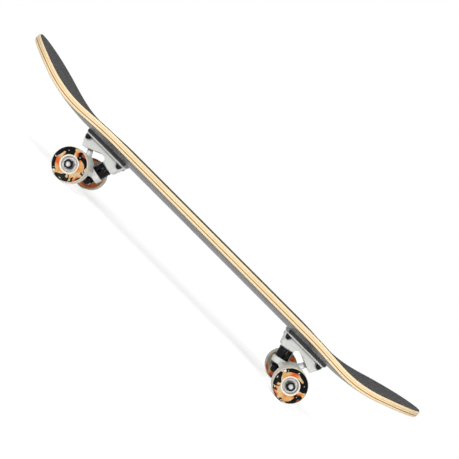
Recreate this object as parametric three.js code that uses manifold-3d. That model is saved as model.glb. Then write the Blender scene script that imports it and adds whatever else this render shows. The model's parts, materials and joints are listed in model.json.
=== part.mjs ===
// A street skateboard: a seven-ply maple deck with grip tape, carried by two sprung
// trucks and four urethane wheels on ball bearings.
// Millimetres, +X towards the tail, +Z up, the ground at Z = 0 below the middle of the deck.
import * as THREE from "three";
import { ConvexGeometry } from "three/addons/geometries/ConvexGeometry.js";
import { mergeVertices } from "three/addons/utils/BufferGeometryUtils.js";
import Module from "manifold-3d";

const wasm = await Module();
wasm.setup();

const degrees = THREE.MathUtils.degToRad;

// Deck
const deckWidth = 200;
const deckThickness = 11.2;
const wheelbase = 357.5; // from the inner bolts of one truck to those of the other
const noseLength = 158.6; // from the outer bolts to the tip
const tailLength = 155.9;
const concaveDepth = 9.4; // how far the rails stand above the centre line
const noseConcave = 4.3; // what is left of that in the nose
const tailConcave = 4.6;
const noseKickGap = 10.3; // from the outer bolts to where the nose starts to rise
const noseKickRadius = 241;
const noseKickAngle = degrees(19.8);
const tailKickGap = 3.7;
const tailKickRadius = 224;
const tailKickAngle = degrees(19.7);
const fadeInside = 60; // the concave starts to flatten this far inside a kick
const fadeLength = 110;
const noseTaper = 98.8; // length of the rounded part of the outline
const tailTaper = 120;
const noseRoundness = 2.1;
const tailRoundness = 2.06;
const edgeRound = 2;
const gripThickness = 0.9;

// Truck bolts
const boltSpacingLong = 63.5;
const boltSpacingWide = 41.3;
const boltDiameter = 5;
const boltHeadDiameter = 9.4;
const boltHeadRim = 0.7;
const boltSocketWidth = 3.2;
const boltSocketDepth = 2.2;
const boltClearance = 0.3;
const boltSunk = 0.2; // the head lies this far below the grip
const boltEnd = 1; // the thread stands this far out of its nut
const boltNutWidth = 8;
const boltNutHeight = 5.8;

// Clearances
const pressGap = 0.1; // between flat faces that are bolted together
const seatGap = 0.3; // between pieces stacked on a tilted axis
const runningGap = 0.2; // beside a turning piece
const overrun = 20; // how far a cutter passes the face that it cuts
const weldDistance = 0.001;

// Riser pad and baseplate
const riserThickness = 3.5;
const riserOverhang = 1.3;
const plateLength = 74.2;
const plateWidth = 54;
const plateThickness = 2.8;
const plateCorner = 6;
const plateRootWidth = 32; // of the cast body, where it leaves the plate
const plateDraft = degrees(4);
const plateEndSlope = degrees(18);
const plateOuterSlope = degrees(27);
const plateOuterLip = 1; // how far the plate stands past the cast body's outer end
const archDrop = 10.2; // from the top of the plate to the top of the arch

// Kingpin and bushings, along an axis that leans outwards going down
const kingpinTilt = degrees(13);
const kingpinAlong = -17.8; // its seat in the baseplate, from the middle of the bolts
const kingpinSeatDrop = 20.4; // and below the top of the plate
const kingpinDiameter = 9.5;
const kingpinClearance = 0.25;
const kingpinHeadWidth = 14.2;
const kingpinHeadHeight = 6;
const kingpinHeadSeat = 11; // thickness of metal between the head and the seat
const kingpinPocketDiameter = 18;
const kingpinEnd = 1.2;
const kingpinNutWidth = 13;
const kingpinNutHeight = 7;
const seatBossDiameter = 23;
const seatBossHeight = 1.5;
const washerThickness = 1.2;
const upperWasherDiameter = 23;
const upperWasherLip = 1.6;
const lowerWasherDiameter = 17.6;
const lowerWasherLip = 1;
const upperBushingLength = 16.7;
const upperBushingDiameter = 22.6; // at its fattest
const upperBushingTopDiameter = 20;
const upperBushingSeatDiameter = 21;
const upperSeatDepth = 2.5; // how deep it sits in the hanger
const lowerBushingLength = 6.8;
const lowerBushingDiameter = 19.6; // where it meets the hanger
const lowerBushingEndDiameter = 13.6;
const lowerSeatDepth = 2.5;

// Hanger
const ringHeight = 10;
const ringTopDiameter = 25.4;
const ringBottomDiameter = 23.4;
const ringHoleDiameter = 12.8;
const nutRoomDiameter = 23;
const hangerWidth = 137.6;
const hangerEndDiameter = 18;
const hangerShoulderDiameter = 20;
const hangerShoulderLength = 8;
const webThickness = 17;
const wingReach = 48; // how far the webs run out along the axle
const wingThickness = 10;

// Pivot
const pivotAlong = 22; // centre of the ball, from the middle of the bolts
const pivotDrop = 10.9; // and below the top of the plate
const pivotTilt = degrees(23);
const pivotBallDiameter = 8;
const stemDiameter = 8.6; // where it leaves the cup
const stemFootDiameter = 11.6;
const stemLength = 18; // from the ball's centre to the foot
const cupDepth = 7.7; // from the ball's centre to the mouth
const cupCrown = 1.6; // thickness over the ball
const cupDiameter = 12.6;
const cupMouthDiameter = 11;
const bossInner = 9.3; // from the stem's axis to the two ends of the boss
const bossOuter = 11.9;
const heelRound = 3; // at the boss's outer corner

// Axle, wheels and bearings
const axleAlong = 6.9;
const truckHeight = 49.3; // from the axle to the top of the baseplate
const axleDiameter = 8;
const axleClearance = 0.15;
const axleEnd = 1.3;
const axleNutWidth = 12.2;
const axleNutHeight = 7.2;
const speedWasherThickness = 1;
const speedWasherDiameter = 12;
const bearingDiameter = 22;
const bearingWidth = 7;
const bearingGap = 10; // the spacer's length
const bearingRingWidth = 1.8;
const bearingShieldDepth = 0.5;
const wheelDiameter = 52;
const wheelWidth = 32;
const treadWidth = 18;
const wheelFaceDiameter = 44;
const wheelLipDiameter = 26.4;
const wheelLipDepth = 1.2;
const wheelBoreChamfer = 1.2;
const wheelShoulderDiameter = 18; // the rib between the bearings

// How finely round things are drawn
const wheelSides = 28;
const bearingSides = 16;
const turnedSides = 16;
const smallSides = 12;
const heelSteps = 3;
const railRows = 8; // across the deck
const stationSteps = [8, 3, 5, 3, 8]; // along it: nose, fade, middle, fade, tail
const cornerShare = 0.62; // width share at which a rail turns into a tip
const treadEndShare = 0.93; // of the wheel's radius
const shoulderShares = [0.985, 0.72]; // of the radius, and of the way from tread to face
const upperBushingBulgeShare = 0.66;
const archStartShare = 0.7; // of the seat's radius
const archSeatShares = [
  [0.17, 0.52],
  [0.28, 0.79],
]; // of the arch's length and of its climb from the seat
const archBossShares = [
  [0.5, 1],
  [0.79, 0.7],
]; // of its length and of its climb from the boss

// Heights and places that follow from the sizes
const axleHeight = (wheelDiameter / 2) * Math.cos(Math.PI / wheelSides); // standing on a flat
const plateTop = axleHeight + truckHeight;
const riserTop = plateTop + pressGap + riserThickness;
const deckTop = riserTop + pressGap + deckThickness;
const deckLength = noseLength + wheelbase + 2 * boltSpacingLong + tailLength;
const noseTip = -deckLength / 2;
const tailTip = deckLength / 2;
const noseBolts = noseTip + noseLength + boltSpacingLong / 2;
const tailBolts = tailTip - tailLength - boltSpacingLong / 2;
const noseKick = noseTip + noseLength - noseKickGap;
const tailKick = tailTip - tailLength + tailKickGap;

// Solids of revolution about Z, from [radius, height] pairs listed anticlockwise.
function turned(profile, sides) {
  const points = profile.map(([radius, height]) => new THREE.Vector2(radius, height));
  const closes = profile[0][0] > 0;
  if (closes) points.push(points[0].clone());
  return new THREE.LatheGeometry(points, sides, Math.PI / sides).rotateX(Math.PI / 2);
}

function rod(diameter, low, high, sides) {
  const radius = diameter / 2;
  return turned(
    [
      [0, low],
      [radius, low],
      [radius, high],
      [0, high],
    ],
    sides,
  );
}

function ring(outer, inner, low, high, sides) {
  return turned(
    [
      [outer / 2, low],
      [outer / 2, high],
      [inner / 2, high],
      [inner / 2, low],
    ],
    sides,
  );
}

function hexRod(width, low, high) {
  return rod(width / Math.cos(Math.PI / 6), low, high, 6);
}

function solidOf(geometry) {
  const bare = new THREE.BufferGeometry();
  const loose = geometry.index ? geometry.toNonIndexed() : geometry;
  bare.setAttribute("position", loose.getAttribute("position").clone());
  const merged = mergeVertices(bare, weldDistance);
  const vertProperties = merged.getAttribute("position").array;
  const triVerts = new Uint32Array(merged.index.array);
  return new wasm.Manifold(new wasm.Mesh({ numProp: 3, vertProperties, triVerts }));
}

function geometryOf(solid) {
  const mesh = solid.getMesh();
  const geometry = new THREE.BufferGeometry();
  geometry.setAttribute("position", new THREE.BufferAttribute(mesh.vertProperties, 3));
  geometry.setIndex(new THREE.BufferAttribute(mesh.triVerts, 1));
  const faceted = geometry.toNonIndexed();
  faceted.computeVertexNormals();
  return faceted;
}

const joined = (...pieces) => geometryOf(pieces.map(solidOf).reduce((a, b) => a.add(b)));

function cut(piece, ...cutters) {
  return geometryOf(cutters.map(solidOf).reduce((a, b) => a.subtract(b), solidOf(piece)));
}

// The deck's surface: a centre line that rises in the kicks, and rails that stand above it.
function kickRise(run, radius, angle) {
  if (run <= 0) return 0;
  const bend = Math.min(run, radius * Math.sin(angle));
  const climb = Math.max(run - bend, 0) * Math.tan(angle);
  return radius - Math.sqrt(radius ** 2 - bend ** 2) + climb;
}

function concaveAt(x) {
  const toNose = THREE.MathUtils.smoothstep(noseKick + fadeInside - x, 0, fadeLength);
  const toTail = THREE.MathUtils.smoothstep(x - tailKick + fadeInside, 0, fadeLength);
  const lost = (concaveDepth - noseConcave) * toNose + (concaveDepth - tailConcave) * toTail;
  return concaveDepth - lost;
}

function deckTopAt(x, y) {
  const nose = kickRise(noseKick - x, noseKickRadius, noseKickAngle);
  const tail = kickRise(x - tailKick, tailKickRadius, tailKickAngle);
  return deckTop + nose + tail + concaveAt(x) * (y / (deckWidth / 2)) ** 2;
}

// The outline, seen from above and drawn in by inset: rails with a superellipse at each end.
function halfWidthAt(x, inset) {
  const intoNose = (noseTip + inset + noseTaper - x) / noseTaper;
  const intoTail = (x - tailTip + inset + tailTaper) / tailTaper;
  const round = (share, power) =>
    (1 - THREE.MathUtils.clamp(share, 0, 1) ** power) ** (1 / power);
  return (
    (deckWidth / 2 - inset) * round(intoNose, noseRoundness) * round(intoTail, tailRoundness)
  );
}

// How far the outline reaches at a share of its half width.
function tipsAt(widthShare, inset) {
  const reach = (power) => (1 - widthShare ** power) ** (1 / power);
  const nose = noseTip + inset + noseTaper * (1 - reach(noseRoundness));
  const tail = tailTip - inset - tailTaper * (1 - reach(tailRoundness));
  return { nose, tail };
}

// Stations along a rail, from corner to corner, closer together in the kicks.
function stationsFor(inset) {
  const corner = tipsAt(cornerShare, inset);
  const stops = [
    corner.nose,
    noseKick,
    noseKick + fadeInside,
    tailKick - fadeInside,
    tailKick,
    corner.tail,
  ];
  const stations = [corner.nose];
  stationSteps.forEach((steps, part) => {
    for (let step = 1; step <= steps; step += 1)
      stations.push(THREE.MathUtils.lerp(stops[part], stops[part + 1], step / steps));
  });
  return stations;
}

// Splits the faces underneath along the same diagonals as those on top, so that sheets lie flush.
function matchUnderside(grid) {
  const under = grid.groups.at(-1);
  const corners = grid.getIndex().array;
  for (let n = under.start; n < under.start + under.count; n += 6) {
    const [a, b, d, , c] = corners.slice(n, n + 5);
    corners.set([a, b, c, a, c, d], n);
  }
  return grid;
}

// A sheet that follows the deck: one layer of points for each [height above the top, inset].
function deckSheet(layers) {
  const steps = stationSteps.reduce((a, b) => a + b);
  const depth = layers.length - 1;
  const grid = new THREE.BoxGeometry(steps, railRows, depth, steps, railRows, depth);
  const points = grid.getAttribute("position");
  const tables = layers.map(([, inset]) => stationsFor(inset));
  for (let n = 0; n < points.count; n += 1) {
    const layer = Math.round(points.getZ(n) + depth / 2);
    const [lift, inset] = layers[layer];
    const station = tables[layer][Math.round(points.getX(n) + steps / 2)];
    const across = points.getY(n) / (railRows / 2);
    const corner = tipsAt(cornerShare, inset);
    const tip = tipsAt(cornerShare * Math.abs(across), inset);
    const noseWeight = THREE.MathUtils.clamp((noseKick - station) / (noseKick - corner.nose), 0, 1);
    const tailWeight = THREE.MathUtils.clamp((station - tailKick) / (corner.tail - tailKick), 0, 1);
    const noseShift = (tip.nose - corner.nose) * noseWeight ** 2;
    const tailShift = (tip.tail - corner.tail) * tailWeight ** 2;
    const x = station + noseShift + tailShift;
    const y = across * halfWidthAt(station, inset);
    points.setXYZ(n, x, y, deckTopAt(x, y) + lift);
  }
  return matchUnderside(grid);
}

// The four bolt places of a truck, and where each lies on the deck.
function boltPlaces(middle) {
  return [-1, 1].flatMap((along) =>
    [-1, 1].map((across) => {
      const x = middle + (along * boltSpacingLong) / 2;
      const y = (across * boltSpacingWide) / 2;
      return { along, across, x, y, top: deckTopAt(x, y) };
    }),
  );
}

const allBolts = [...boltPlaces(noseBolts), ...boltPlaces(tailBolts)];
const boltHeadCone = (boltHeadDiameter - boltDiameter) / 2;

function deckGeometry() {
  const sheet = deckSheet([
    [-deckThickness, edgeRound],
    [edgeRound - deckThickness, 0],
    [-edgeRound, 0],
    [0, edgeRound],
  ]);
  const hole = boltDiameter / 2 + boltClearance;
  const mouth = boltHeadDiameter / 2 + boltClearance;
  const cutter = [
    [0, -deckThickness - overrun],
    [hole, -deckThickness - overrun],
    [hole, -boltHeadCone],
    [mouth, 0],
    [mouth, overrun],
    [0, overrun],
  ];
  const holes = allBolts.map(({ x, y, top }) => turned(cutter, smallSides).translate(x, y, top));
  return cut(sheet, ...holes);
}

function gripGeometry() {
  const sheet = deckSheet([
    [pressGap, edgeRound],
    [pressGap + gripThickness, edgeRound],
  ]);
  const width = boltHeadDiameter + 2 * boltClearance;
  const holes = allBolts.map(({ x, y, top }) =>
    rod(width, -overrun, overrun, smallSides).translate(x, y, top),
  );
  return cut(sheet, ...holes);
}

// Rounded rectangle with the four bolt holes, its top face at Z = 0.
function boltedPlate(length, width, thickness, corner) {
  const outline = new THREE.Shape();
  const x = length / 2;
  const y = width / 2;
  outline.moveTo(corner - x, -y);
  outline.lineTo(x - corner, -y);
  outline.absarc(x - corner, corner - y, corner, -Math.PI / 2, 0);
  outline.absarc(x - corner, y - corner, corner, 0, Math.PI / 2);
  outline.absarc(corner - x, y - corner, corner, Math.PI / 2, Math.PI);
  outline.absarc(corner - x, corner - y, corner, Math.PI, 1.5 * Math.PI);
  const radius = boltDiameter / 2 + boltClearance;
  for (const across of [-1, 1]) {
    for (const along of [-1, 1]) {
      const holeX = (along * boltSpacingLong) / 2;
      const holeY = (across * boltSpacingWide) / 2;
      outline.holes.push(new THREE.Path().absarc(holeX, holeY, radius, 0, 2 * Math.PI));
    }
  }
  const options = { depth: thickness, bevelEnabled: false, curveSegments: smallSides / 3 };
  return new THREE.ExtrudeGeometry(outline, options).translate(0, 0, -thickness);
}

// Turns a piece drawn along Z onto the kingpin's axis, with Z = 0 at the seat in the baseplate.
function onKingpin(object) {
  object.position.set(kingpinAlong, 0, -kingpinSeatDrop);
  object.rotation.y = -kingpinTilt;
  return object;
}

// Turns a piece drawn along Z onto the pivot's axis, with Z = 0 at the ball's centre.
function onPivot(object) {
  object.position.set(pivotAlong, 0, -pivotDrop);
  object.rotation.y = pivotTilt;
  return object;
}

function placed(geometry, place) {
  const holder = place(new THREE.Object3D());
  holder.updateMatrix();
  return geometry.clone().applyMatrix4(holder.matrix);
}

// Side view of the cast body under the plate, in the truck's X and Z, the plate's top at Z = 0.
function bodyOutline() {
  const seatSlope = Math.tan(kingpinTilt);
  const seatLine = (x) => seatBossHeight - kingpinSeatDrop + (x - kingpinAlong) * seatSlope;
  const seatHalf = seatBossDiameter / 2;
  const innerFoot = kingpinAlong - seatHalf * Math.cos(kingpinTilt) - seatBossHeight;
  const innerTop = innerFoot + seatLine(innerFoot) * Math.tan(plateEndSlope);
  const seatEnd = kingpinAlong + seatHalf * Math.cos(kingpinTilt) * archStartShare;
  const mouthX = pivotAlong - cupDepth * Math.sin(pivotTilt);
  const mouthZ = -pivotDrop - cupDepth * Math.cos(pivotTilt);
  const bossFace = (run) => [
    mouthX + run * Math.cos(pivotTilt),
    mouthZ - run * Math.sin(pivotTilt),
  ];
  const [bossX, bossZ] = bossFace(-bossInner);
  const [heelX, heelZ] = bossFace(bossOuter);
  const outerEnd = plateLength / 2 - plateOuterLip;
  const outerFoot = heelZ + (outerEnd - heelX) / Math.tan(plateOuterSlope);
  const heel = new THREE.QuadraticBezierCurve(
    new THREE.Vector2(...bossFace(bossOuter - heelRound)),
    new THREE.Vector2(heelX, heelZ),
    new THREE.Vector2(
      heelX + heelRound * Math.sin(plateOuterSlope),
      heelZ + heelRound * Math.cos(plateOuterSlope),
    ),
  );
  const archFrom = (foot) => ([along, up]) => [
    THREE.MathUtils.lerp(seatEnd, bossX, along),
    THREE.MathUtils.lerp(foot, -archDrop, up),
  ];
  const inPlate = -plateThickness / 2;
  return [
    [innerTop, inPlate],
    [innerFoot, seatLine(innerFoot)],
    [seatEnd, seatLine(seatEnd)],
    ...archSeatShares.map(archFrom(seatLine(seatEnd))),
    ...archBossShares.map(archFrom(bossZ)),
    [bossX, bossZ],
    ...heel.getPoints(heelSteps).map((point) => point.toArray()),
    [outerEnd, outerFoot],
    [outerEnd, inPlate],
  ];
}

// An outline in X and Z drawn out along Y, its sides drawing in below the plate by the draft.
function castBody(outline, rootWidth, draft) {
  const shape = new THREE.Shape(outline.map(([x, z]) => new THREE.Vector2(x, z)));
  const body = new THREE.ExtrudeGeometry(shape, { depth: 1, bevelEnabled: false });
  body.translate(0, 0, -1 / 2).rotateX(Math.PI / 2);
  const points = body.getAttribute("position");
  for (let n = 0; n < points.count; n += 1) {
    const width = rootWidth + 2 * points.getZ(n) * Math.tan(draft);
    points.setY(n, points.getY(n) * width);
  }
  return body;
}

function baseplateGeometry() {
  const plate = boltedPlate(plateLength, plateWidth, plateThickness, plateCorner);
  const body = castBody(bodyOutline(), plateRootWidth, plateDraft);
  const seatBoss = placed(rod(seatBossDiameter, 0, kingpinHeadSeat, turnedSides), onKingpin);
  const pinHole = rod(kingpinDiameter + 2 * kingpinClearance, -overrun, overrun, turnedSides);
  const pocketEnd = kingpinHeadSeat + overrun;
  const headPocket = rod(kingpinPocketDiameter, kingpinHeadSeat, pocketEnd, turnedSides);
  const cupHole = rod(
    cupDiameter + 2 * seatGap,
    -cupDepth - overrun,
    pivotBallDiameter / 2 + cupCrown + 2 * seatGap,
    turnedSides,
  );
  return cut(
    joined(plate, body, seatBoss),
    placed(pinHole, onKingpin),
    placed(headPocket, onKingpin),
    placed(cupHole, onPivot),
  );
}

function pivotCupGeometry() {
  const outer = cupDiameter / 2;
  const ball = pivotBallDiameter / 2 + seatGap;
  const mouth = cupMouthDiameter / 2;
  const slant = ball * Math.SQRT1_2;
  return turned(
    [
      [0, ball],
      [slant, slant],
      [ball, 0],
      [mouth, -cupDepth],
      [outer, -cupDepth],
      [outer, ball + cupCrown],
      [0, ball + cupCrown],
    ],
    turnedSides,
  );
}

// Distances down the kingpin's axis from the seat, each piece a seat gap from the last.
const upperWasherTop = seatGap;
const upperBushingTop = upperWasherTop + washerThickness + seatGap;
const ringTop = upperBushingTop + upperBushingLength + seatGap - upperSeatDepth;
const ringBottom = ringTop + ringHeight;
const lowerBushingTop = ringBottom - lowerSeatDepth + seatGap;
const lowerWasherTop = lowerBushingTop + lowerBushingLength + seatGap;
const kingpinNutTop = lowerWasherTop + washerThickness + seatGap;
const kingpinBottom = kingpinNutTop + kingpinNutHeight + kingpinEnd;
const bushingBore = kingpinDiameter + 2 * kingpinClearance;

function kingpinGeometry() {
  const underHead = kingpinHeadSeat + seatGap;
  const head = hexRod(kingpinHeadWidth, underHead, underHead + kingpinHeadHeight);
  return joined(head, rod(kingpinDiameter, -kingpinBottom, underHead + seatGap, smallSides));
}

function nutGeometry(width, height, bore) {
  return cut(hexRod(width, -height, 0), rod(bore, -overrun, overrun, smallSides));
}

// A cupped washer, its flat face up at Z = 0 and its lip down around the bushing.
function cupWasherGeometry(diameter, lip) {
  const rim = diameter / 2;
  const bore = bushingBore / 2;
  const inner = rim - washerThickness;
  return turned(
    [
      [bore, -washerThickness],
      [inner, -washerThickness],
      [inner, -washerThickness - lip],
      [rim, -washerThickness - lip],
      [rim, 0],
      [bore, 0],
    ],
    turnedSides,
  );
}

function upperBushingGeometry() {
  const bore = bushingBore / 2;
  const seat = upperBushingSeatDiameter / 2;
  const lipHeight = -upperBushingLength + upperSeatDepth;
  return turned(
    [
      [bore, -upperBushingLength],
      [seat, -upperBushingLength],
      [seat, lipHeight],
      [upperBushingDiameter / 2, lipHeight * upperBushingBulgeShare],
      [upperBushingTopDiameter / 2, 0],
      [bore, 0],
    ],
    turnedSides,
  );
}

function lowerBushingGeometry() {
  const bore = bushingBore / 2;
  return turned(
    [
      [bore, -lowerBushingLength],
      [lowerBushingEndDiameter / 2, -lowerBushingLength],
      [lowerBushingDiameter / 2, 0],
      [bore, 0],
    ],
    turnedSides,
  );
}

// The hanger, in the truck's frame: a ring for the bushings, a stem for the pivot,
// and two arms along the axle, tied together by a web and two wings.
function hangerGeometry() {
  const half = hangerWidth / 2;
  const onAxle = (piece) => piece.rotateX(Math.PI / 2).translate(axleAlong, 0, -truckHeight);
  const end = hangerEndDiameter / 2;
  const shoulder = hangerShoulderDiameter / 2;
  const arms = onAxle(
    turned(
      [
        [0, -half],
        [end, -half],
        [end, -half + hangerShoulderLength],
        [shoulder, -wingReach],
        [shoulder, wingReach],
        [end, half - hangerShoulderLength],
        [end, half],
        [0, half],
      ],
      turnedSides,
    ),
  );
  const bushingRing = placed(
    turned(
      [
        [0, -ringBottom],
        [ringBottomDiameter / 2, -ringBottom],
        [ringTopDiameter / 2, -ringTop],
        [0, -ringTop],
      ],
      turnedSides,
    ),
    onKingpin,
  );
  const ball = pivotBallDiameter / 2;
  const slant = ball * Math.SQRT1_2;
  const stem = placed(
    turned(
      [
        [0, -stemLength],
        [stemFootDiameter / 2, -stemLength],
        [stemDiameter / 2, -cupDepth],
        [ball, 0],
        [slant, slant],
        [0, ball],
      ],
      turnedSides,
    ),
    onPivot,
  );
  const ringMiddle = (ringTop + ringBottom) / 2;
  const ringX = kingpinAlong + ringMiddle * Math.sin(kingpinTilt);
  const ringZ = -kingpinSeatDrop - ringMiddle * Math.cos(kingpinTilt);
  const footX = pivotAlong - stemLength * Math.sin(pivotTilt);
  const footZ = -pivotDrop - stemLength * Math.cos(pivotTilt);
  const foot = stemFootDiameter / 2;
  const footInnerX = footX - foot * Math.cos(pivotTilt);
  const footInnerZ = footZ + foot * Math.sin(pivotTilt);
  const ringShoulderZ = ringZ + ringHeight / 2 - upperSeatDepth;
  const wingTopZ = wingThickness / 2 - truckHeight;
  const corners = [-1, 1].flatMap((side) => [
    new THREE.Vector3(footX + foot * Math.cos(pivotTilt), (side * foot) / 2, footZ),
    new THREE.Vector3(footInnerX, (side * foot) / 2, footInnerZ),
    new THREE.Vector3(ringX, (side * webThickness) / 2, ringShoulderZ),
    new THREE.Vector3(ringX, (side * webThickness) / 2, ringZ - ringHeight / 2),
    new THREE.Vector3(axleAlong + shoulder / 2, side * wingReach, wingTopZ),
    new THREE.Vector3(axleAlong - shoulder / 2, side * wingReach, wingTopZ),
    new THREE.Vector3(axleAlong, side * wingReach, wingTopZ - wingThickness),
  ]);
  const web = new ConvexGeometry(corners);
  const whole = joined(arms, bushingRing, stem, web);
  const pinHole = rod(ringHoleDiameter, -ringBottom - overrun, -ringTop + overrun, turnedSides);
  const upperSeat = rod(
    upperBushingSeatDiameter + 2 * seatGap,
    -ringTop - upperSeatDepth,
    -ringTop + overrun,
    turnedSides,
  );
  const lowerSeat = rod(
    lowerBushingDiameter + 2 * seatGap,
    -ringBottom - seatGap,
    -ringBottom + lowerSeatDepth,
    turnedSides,
  );
  const nutRoom = rod(nutRoomDiameter, -ringBottom - 2 * overrun, -ringBottom, turnedSides);
  const upperRoom = rod(ringTopDiameter + 2 * seatGap, -ringTop, -ringTop + overrun, turnedSides);
  const axleBore = axleDiameter + 2 * axleClearance;
  const axleHole = onAxle(rod(axleBore, -half - overrun, half + overrun, smallSides));
  return cut(
    whole,
    placed(pinHole, onKingpin),
    placed(upperSeat, onKingpin),
    placed(lowerSeat, onKingpin),
    placed(nutRoom, onKingpin),
    placed(upperRoom, onKingpin),
    axleHole,
  );
}

// Distances out along the axle from the truck's middle.
const washerSpace = hangerWidth / 2 + speedWasherThickness; // the hanger's end and a washer
const innerBearingStart = washerSpace + runningGap;
const wheelMiddle = innerBearingStart + bearingWidth + bearingGap / 2;
const outerBearingEnd = wheelMiddle + bearingGap / 2 + bearingWidth;
const outerWasherStart = outerBearingEnd + runningGap;
const axleNutStart = outerWasherStart + speedWasherThickness + runningGap;
const axleHalf = axleNutStart + axleNutHeight + axleEnd;

function wheelGeometry() {
  const radius = wheelDiameter / 2;
  const face = wheelWidth / 2;
  const tread = treadWidth / 2;
  const seat = bearingDiameter / 2 + pressGap;
  const [nearShare, wayShare] = shoulderShares;
  const lip = face - wheelLipDepth;
  const side = [
    [radius, tread],
    [radius * nearShare * treadEndShare, THREE.MathUtils.lerp(tread, face, wayShare)],
    [wheelFaceDiameter / 2, face],
    [wheelLipDiameter / 2, lip],
    [seat + wheelBoreChamfer, lip],
    [seat, lip - wheelBoreChamfer],
    [seat, bearingGap / 2],
    [wheelShoulderDiameter / 2, bearingGap / 2],
  ];
  const otherSide = side.map(([r, h]) => [r, -h]).reverse();
  return turned([...otherSide, ...side], wheelSides);
}

// A bearing with its shield sunk between the rings, outer face up, its middle at Z = 0.
function bearingGeometry() {
  const outer = bearingDiameter / 2;
  const bore = axleDiameter / 2 + axleClearance;
  const face = bearingWidth / 2;
  const shield = face - bearingShieldDepth;
  return turned(
    [
      [bore, -face],
      [outer, -face],
      [outer, face],
      [outer - bearingRingWidth, face],
      [outer - bearingRingWidth, shield],
      [bore + bearingRingWidth, shield],
      [bore + bearingRingWidth, face],
      [bore, face],
    ],
    bearingSides,
  );
}

function boltGeometry(length) {
  const shank = boltDiameter / 2;
  const head = boltHeadDiameter / 2;
  const body = turned(
    [
      [0, -length],
      [shank, -length],
      [shank, -boltHeadRim - boltHeadCone],
      [head, -boltHeadRim],
      [head, 0],
      [0, 0],
    ],
    smallSides,
  );
  return cut(body, hexRod(boltSocketWidth, -boltSocketDepth, overrun));
}

// Finishes
const maple = { color: 0xe9d3a2, roughness: 0.5, metalness: 0 };
const grit = { color: 0x3c3c3e, roughness: 0.95, metalness: 0 };
const blackRubber = { color: 0x1c1c1d, roughness: 0.7, metalness: 0 };
const castAluminium = { color: 0xc9ccca, roughness: 0.38, metalness: 0.9 };
const blackSteel = { color: 0x17171a, roughness: 0.35, metalness: 0.8 };
const brightSteel = { color: 0xb9bbbd, roughness: 0.25, metalness: 1 };
const blackUrethane = { color: 0x101012, roughness: 0.3, metalness: 0 };
const creamUrethane = { color: 0xe6dccb, roughness: 0.4, metalness: 0 };

function piece(name, geometry, finish) {
  const mesh = new THREE.Mesh(geometry, new THREE.MeshStandardMaterial(finish));
  mesh.name = name;
  return mesh;
}

// Geometry that both trucks share
const shapes = {
  riser: boltedPlate(
    plateLength + 2 * riserOverhang,
    plateWidth + 2 * riserOverhang,
    riserThickness,
    plateCorner,
  ),
  baseplate: baseplateGeometry(),
  pivotCup: pivotCupGeometry(),
  kingpin: kingpinGeometry(),
  kingpinNut: nutGeometry(kingpinNutWidth, kingpinNutHeight, kingpinDiameter + 2 * boltClearance),
  upperWasher: cupWasherGeometry(upperWasherDiameter, upperWasherLip),
  lowerWasher: cupWasherGeometry(lowerWasherDiameter, lowerWasherLip),
  upperBushing: upperBushingGeometry(),
  lowerBushing: lowerBushingGeometry(),
  hanger: hangerGeometry(),
  axle: rod(axleDiameter, -axleHalf, axleHalf, smallSides),
  axleNut: nutGeometry(axleNutWidth, axleNutHeight, axleDiameter + 2 * boltClearance),
  speedWasher: ring(
    speedWasherDiameter,
    axleDiameter + 2 * axleClearance,
    -speedWasherThickness,
    0,
    smallSides,
  ),
  bearing: bearingGeometry(),
  wheel: wheelGeometry(),
  boltNut: nutGeometry(boltNutWidth, boltNutHeight, boltDiameter + 2 * boltClearance),
};

function kingpinStack(prefix) {
  const stack = onKingpin(new THREE.Group());
  const add = (name, geometry, finish, drop) => {
    const mesh = piece(`${prefix}_${name}`, geometry, finish);
    mesh.position.z = -drop;
    stack.add(mesh);
  };
  add("kingpin", shapes.kingpin, blackSteel, 0);
  add("board_side_washer", shapes.upperWasher, blackSteel, upperWasherTop);
  add("board_side_bushing", shapes.upperBushing, blackUrethane, upperBushingTop);
  add("road_side_bushing", shapes.lowerBushing, blackUrethane, lowerBushingTop);
  add("kingpin_nut", shapes.kingpinNut, blackSteel, kingpinNutTop);
  const lower = piece(`${prefix}_road_side_washer`, shapes.lowerWasher, blackSteel);
  lower.position.z = -lowerWasherTop - washerThickness;
  lower.rotation.x = Math.PI; // its lip turns up around the bushing
  stack.add(lower);
  return stack;
}

// A wheel with its bearings, washer and nut. Outward is 1 on the truck's own +Y side, else -1.
function wheelSet(prefix, outward) {
  const set = new THREE.Group();
  set.position.set(axleAlong, 0, -truckHeight);
  const add = (name, geometry, finish, distance, outside = outward) => {
    const mesh = piece(`${prefix}_${name}`, geometry, finish);
    mesh.position.y = outward * distance;
    mesh.rotation.x = (-outside * Math.PI) / 2; // the piece's own Z points along the axle
    set.add(mesh);
  };
  const bearingOffset = (bearingGap + bearingWidth) / 2;
  add("wheel", shapes.wheel, creamUrethane, wheelMiddle);
  add("inner_bearing", shapes.bearing, brightSteel, wheelMiddle - bearingOffset, -outward);
  add("outer_bearing", shapes.bearing, brightSteel, wheelMiddle + bearingOffset);
  add("speed_washer", shapes.speedWasher, brightSteel, outerWasherStart + speedWasherThickness);
  add("axle_nut", shapes.axleNut, blackSteel, axleNutStart + axleNutHeight);
  return set;
}

const sides = [
  { name: "left", y: -1 },
  { name: "right", y: 1 },
];

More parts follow.
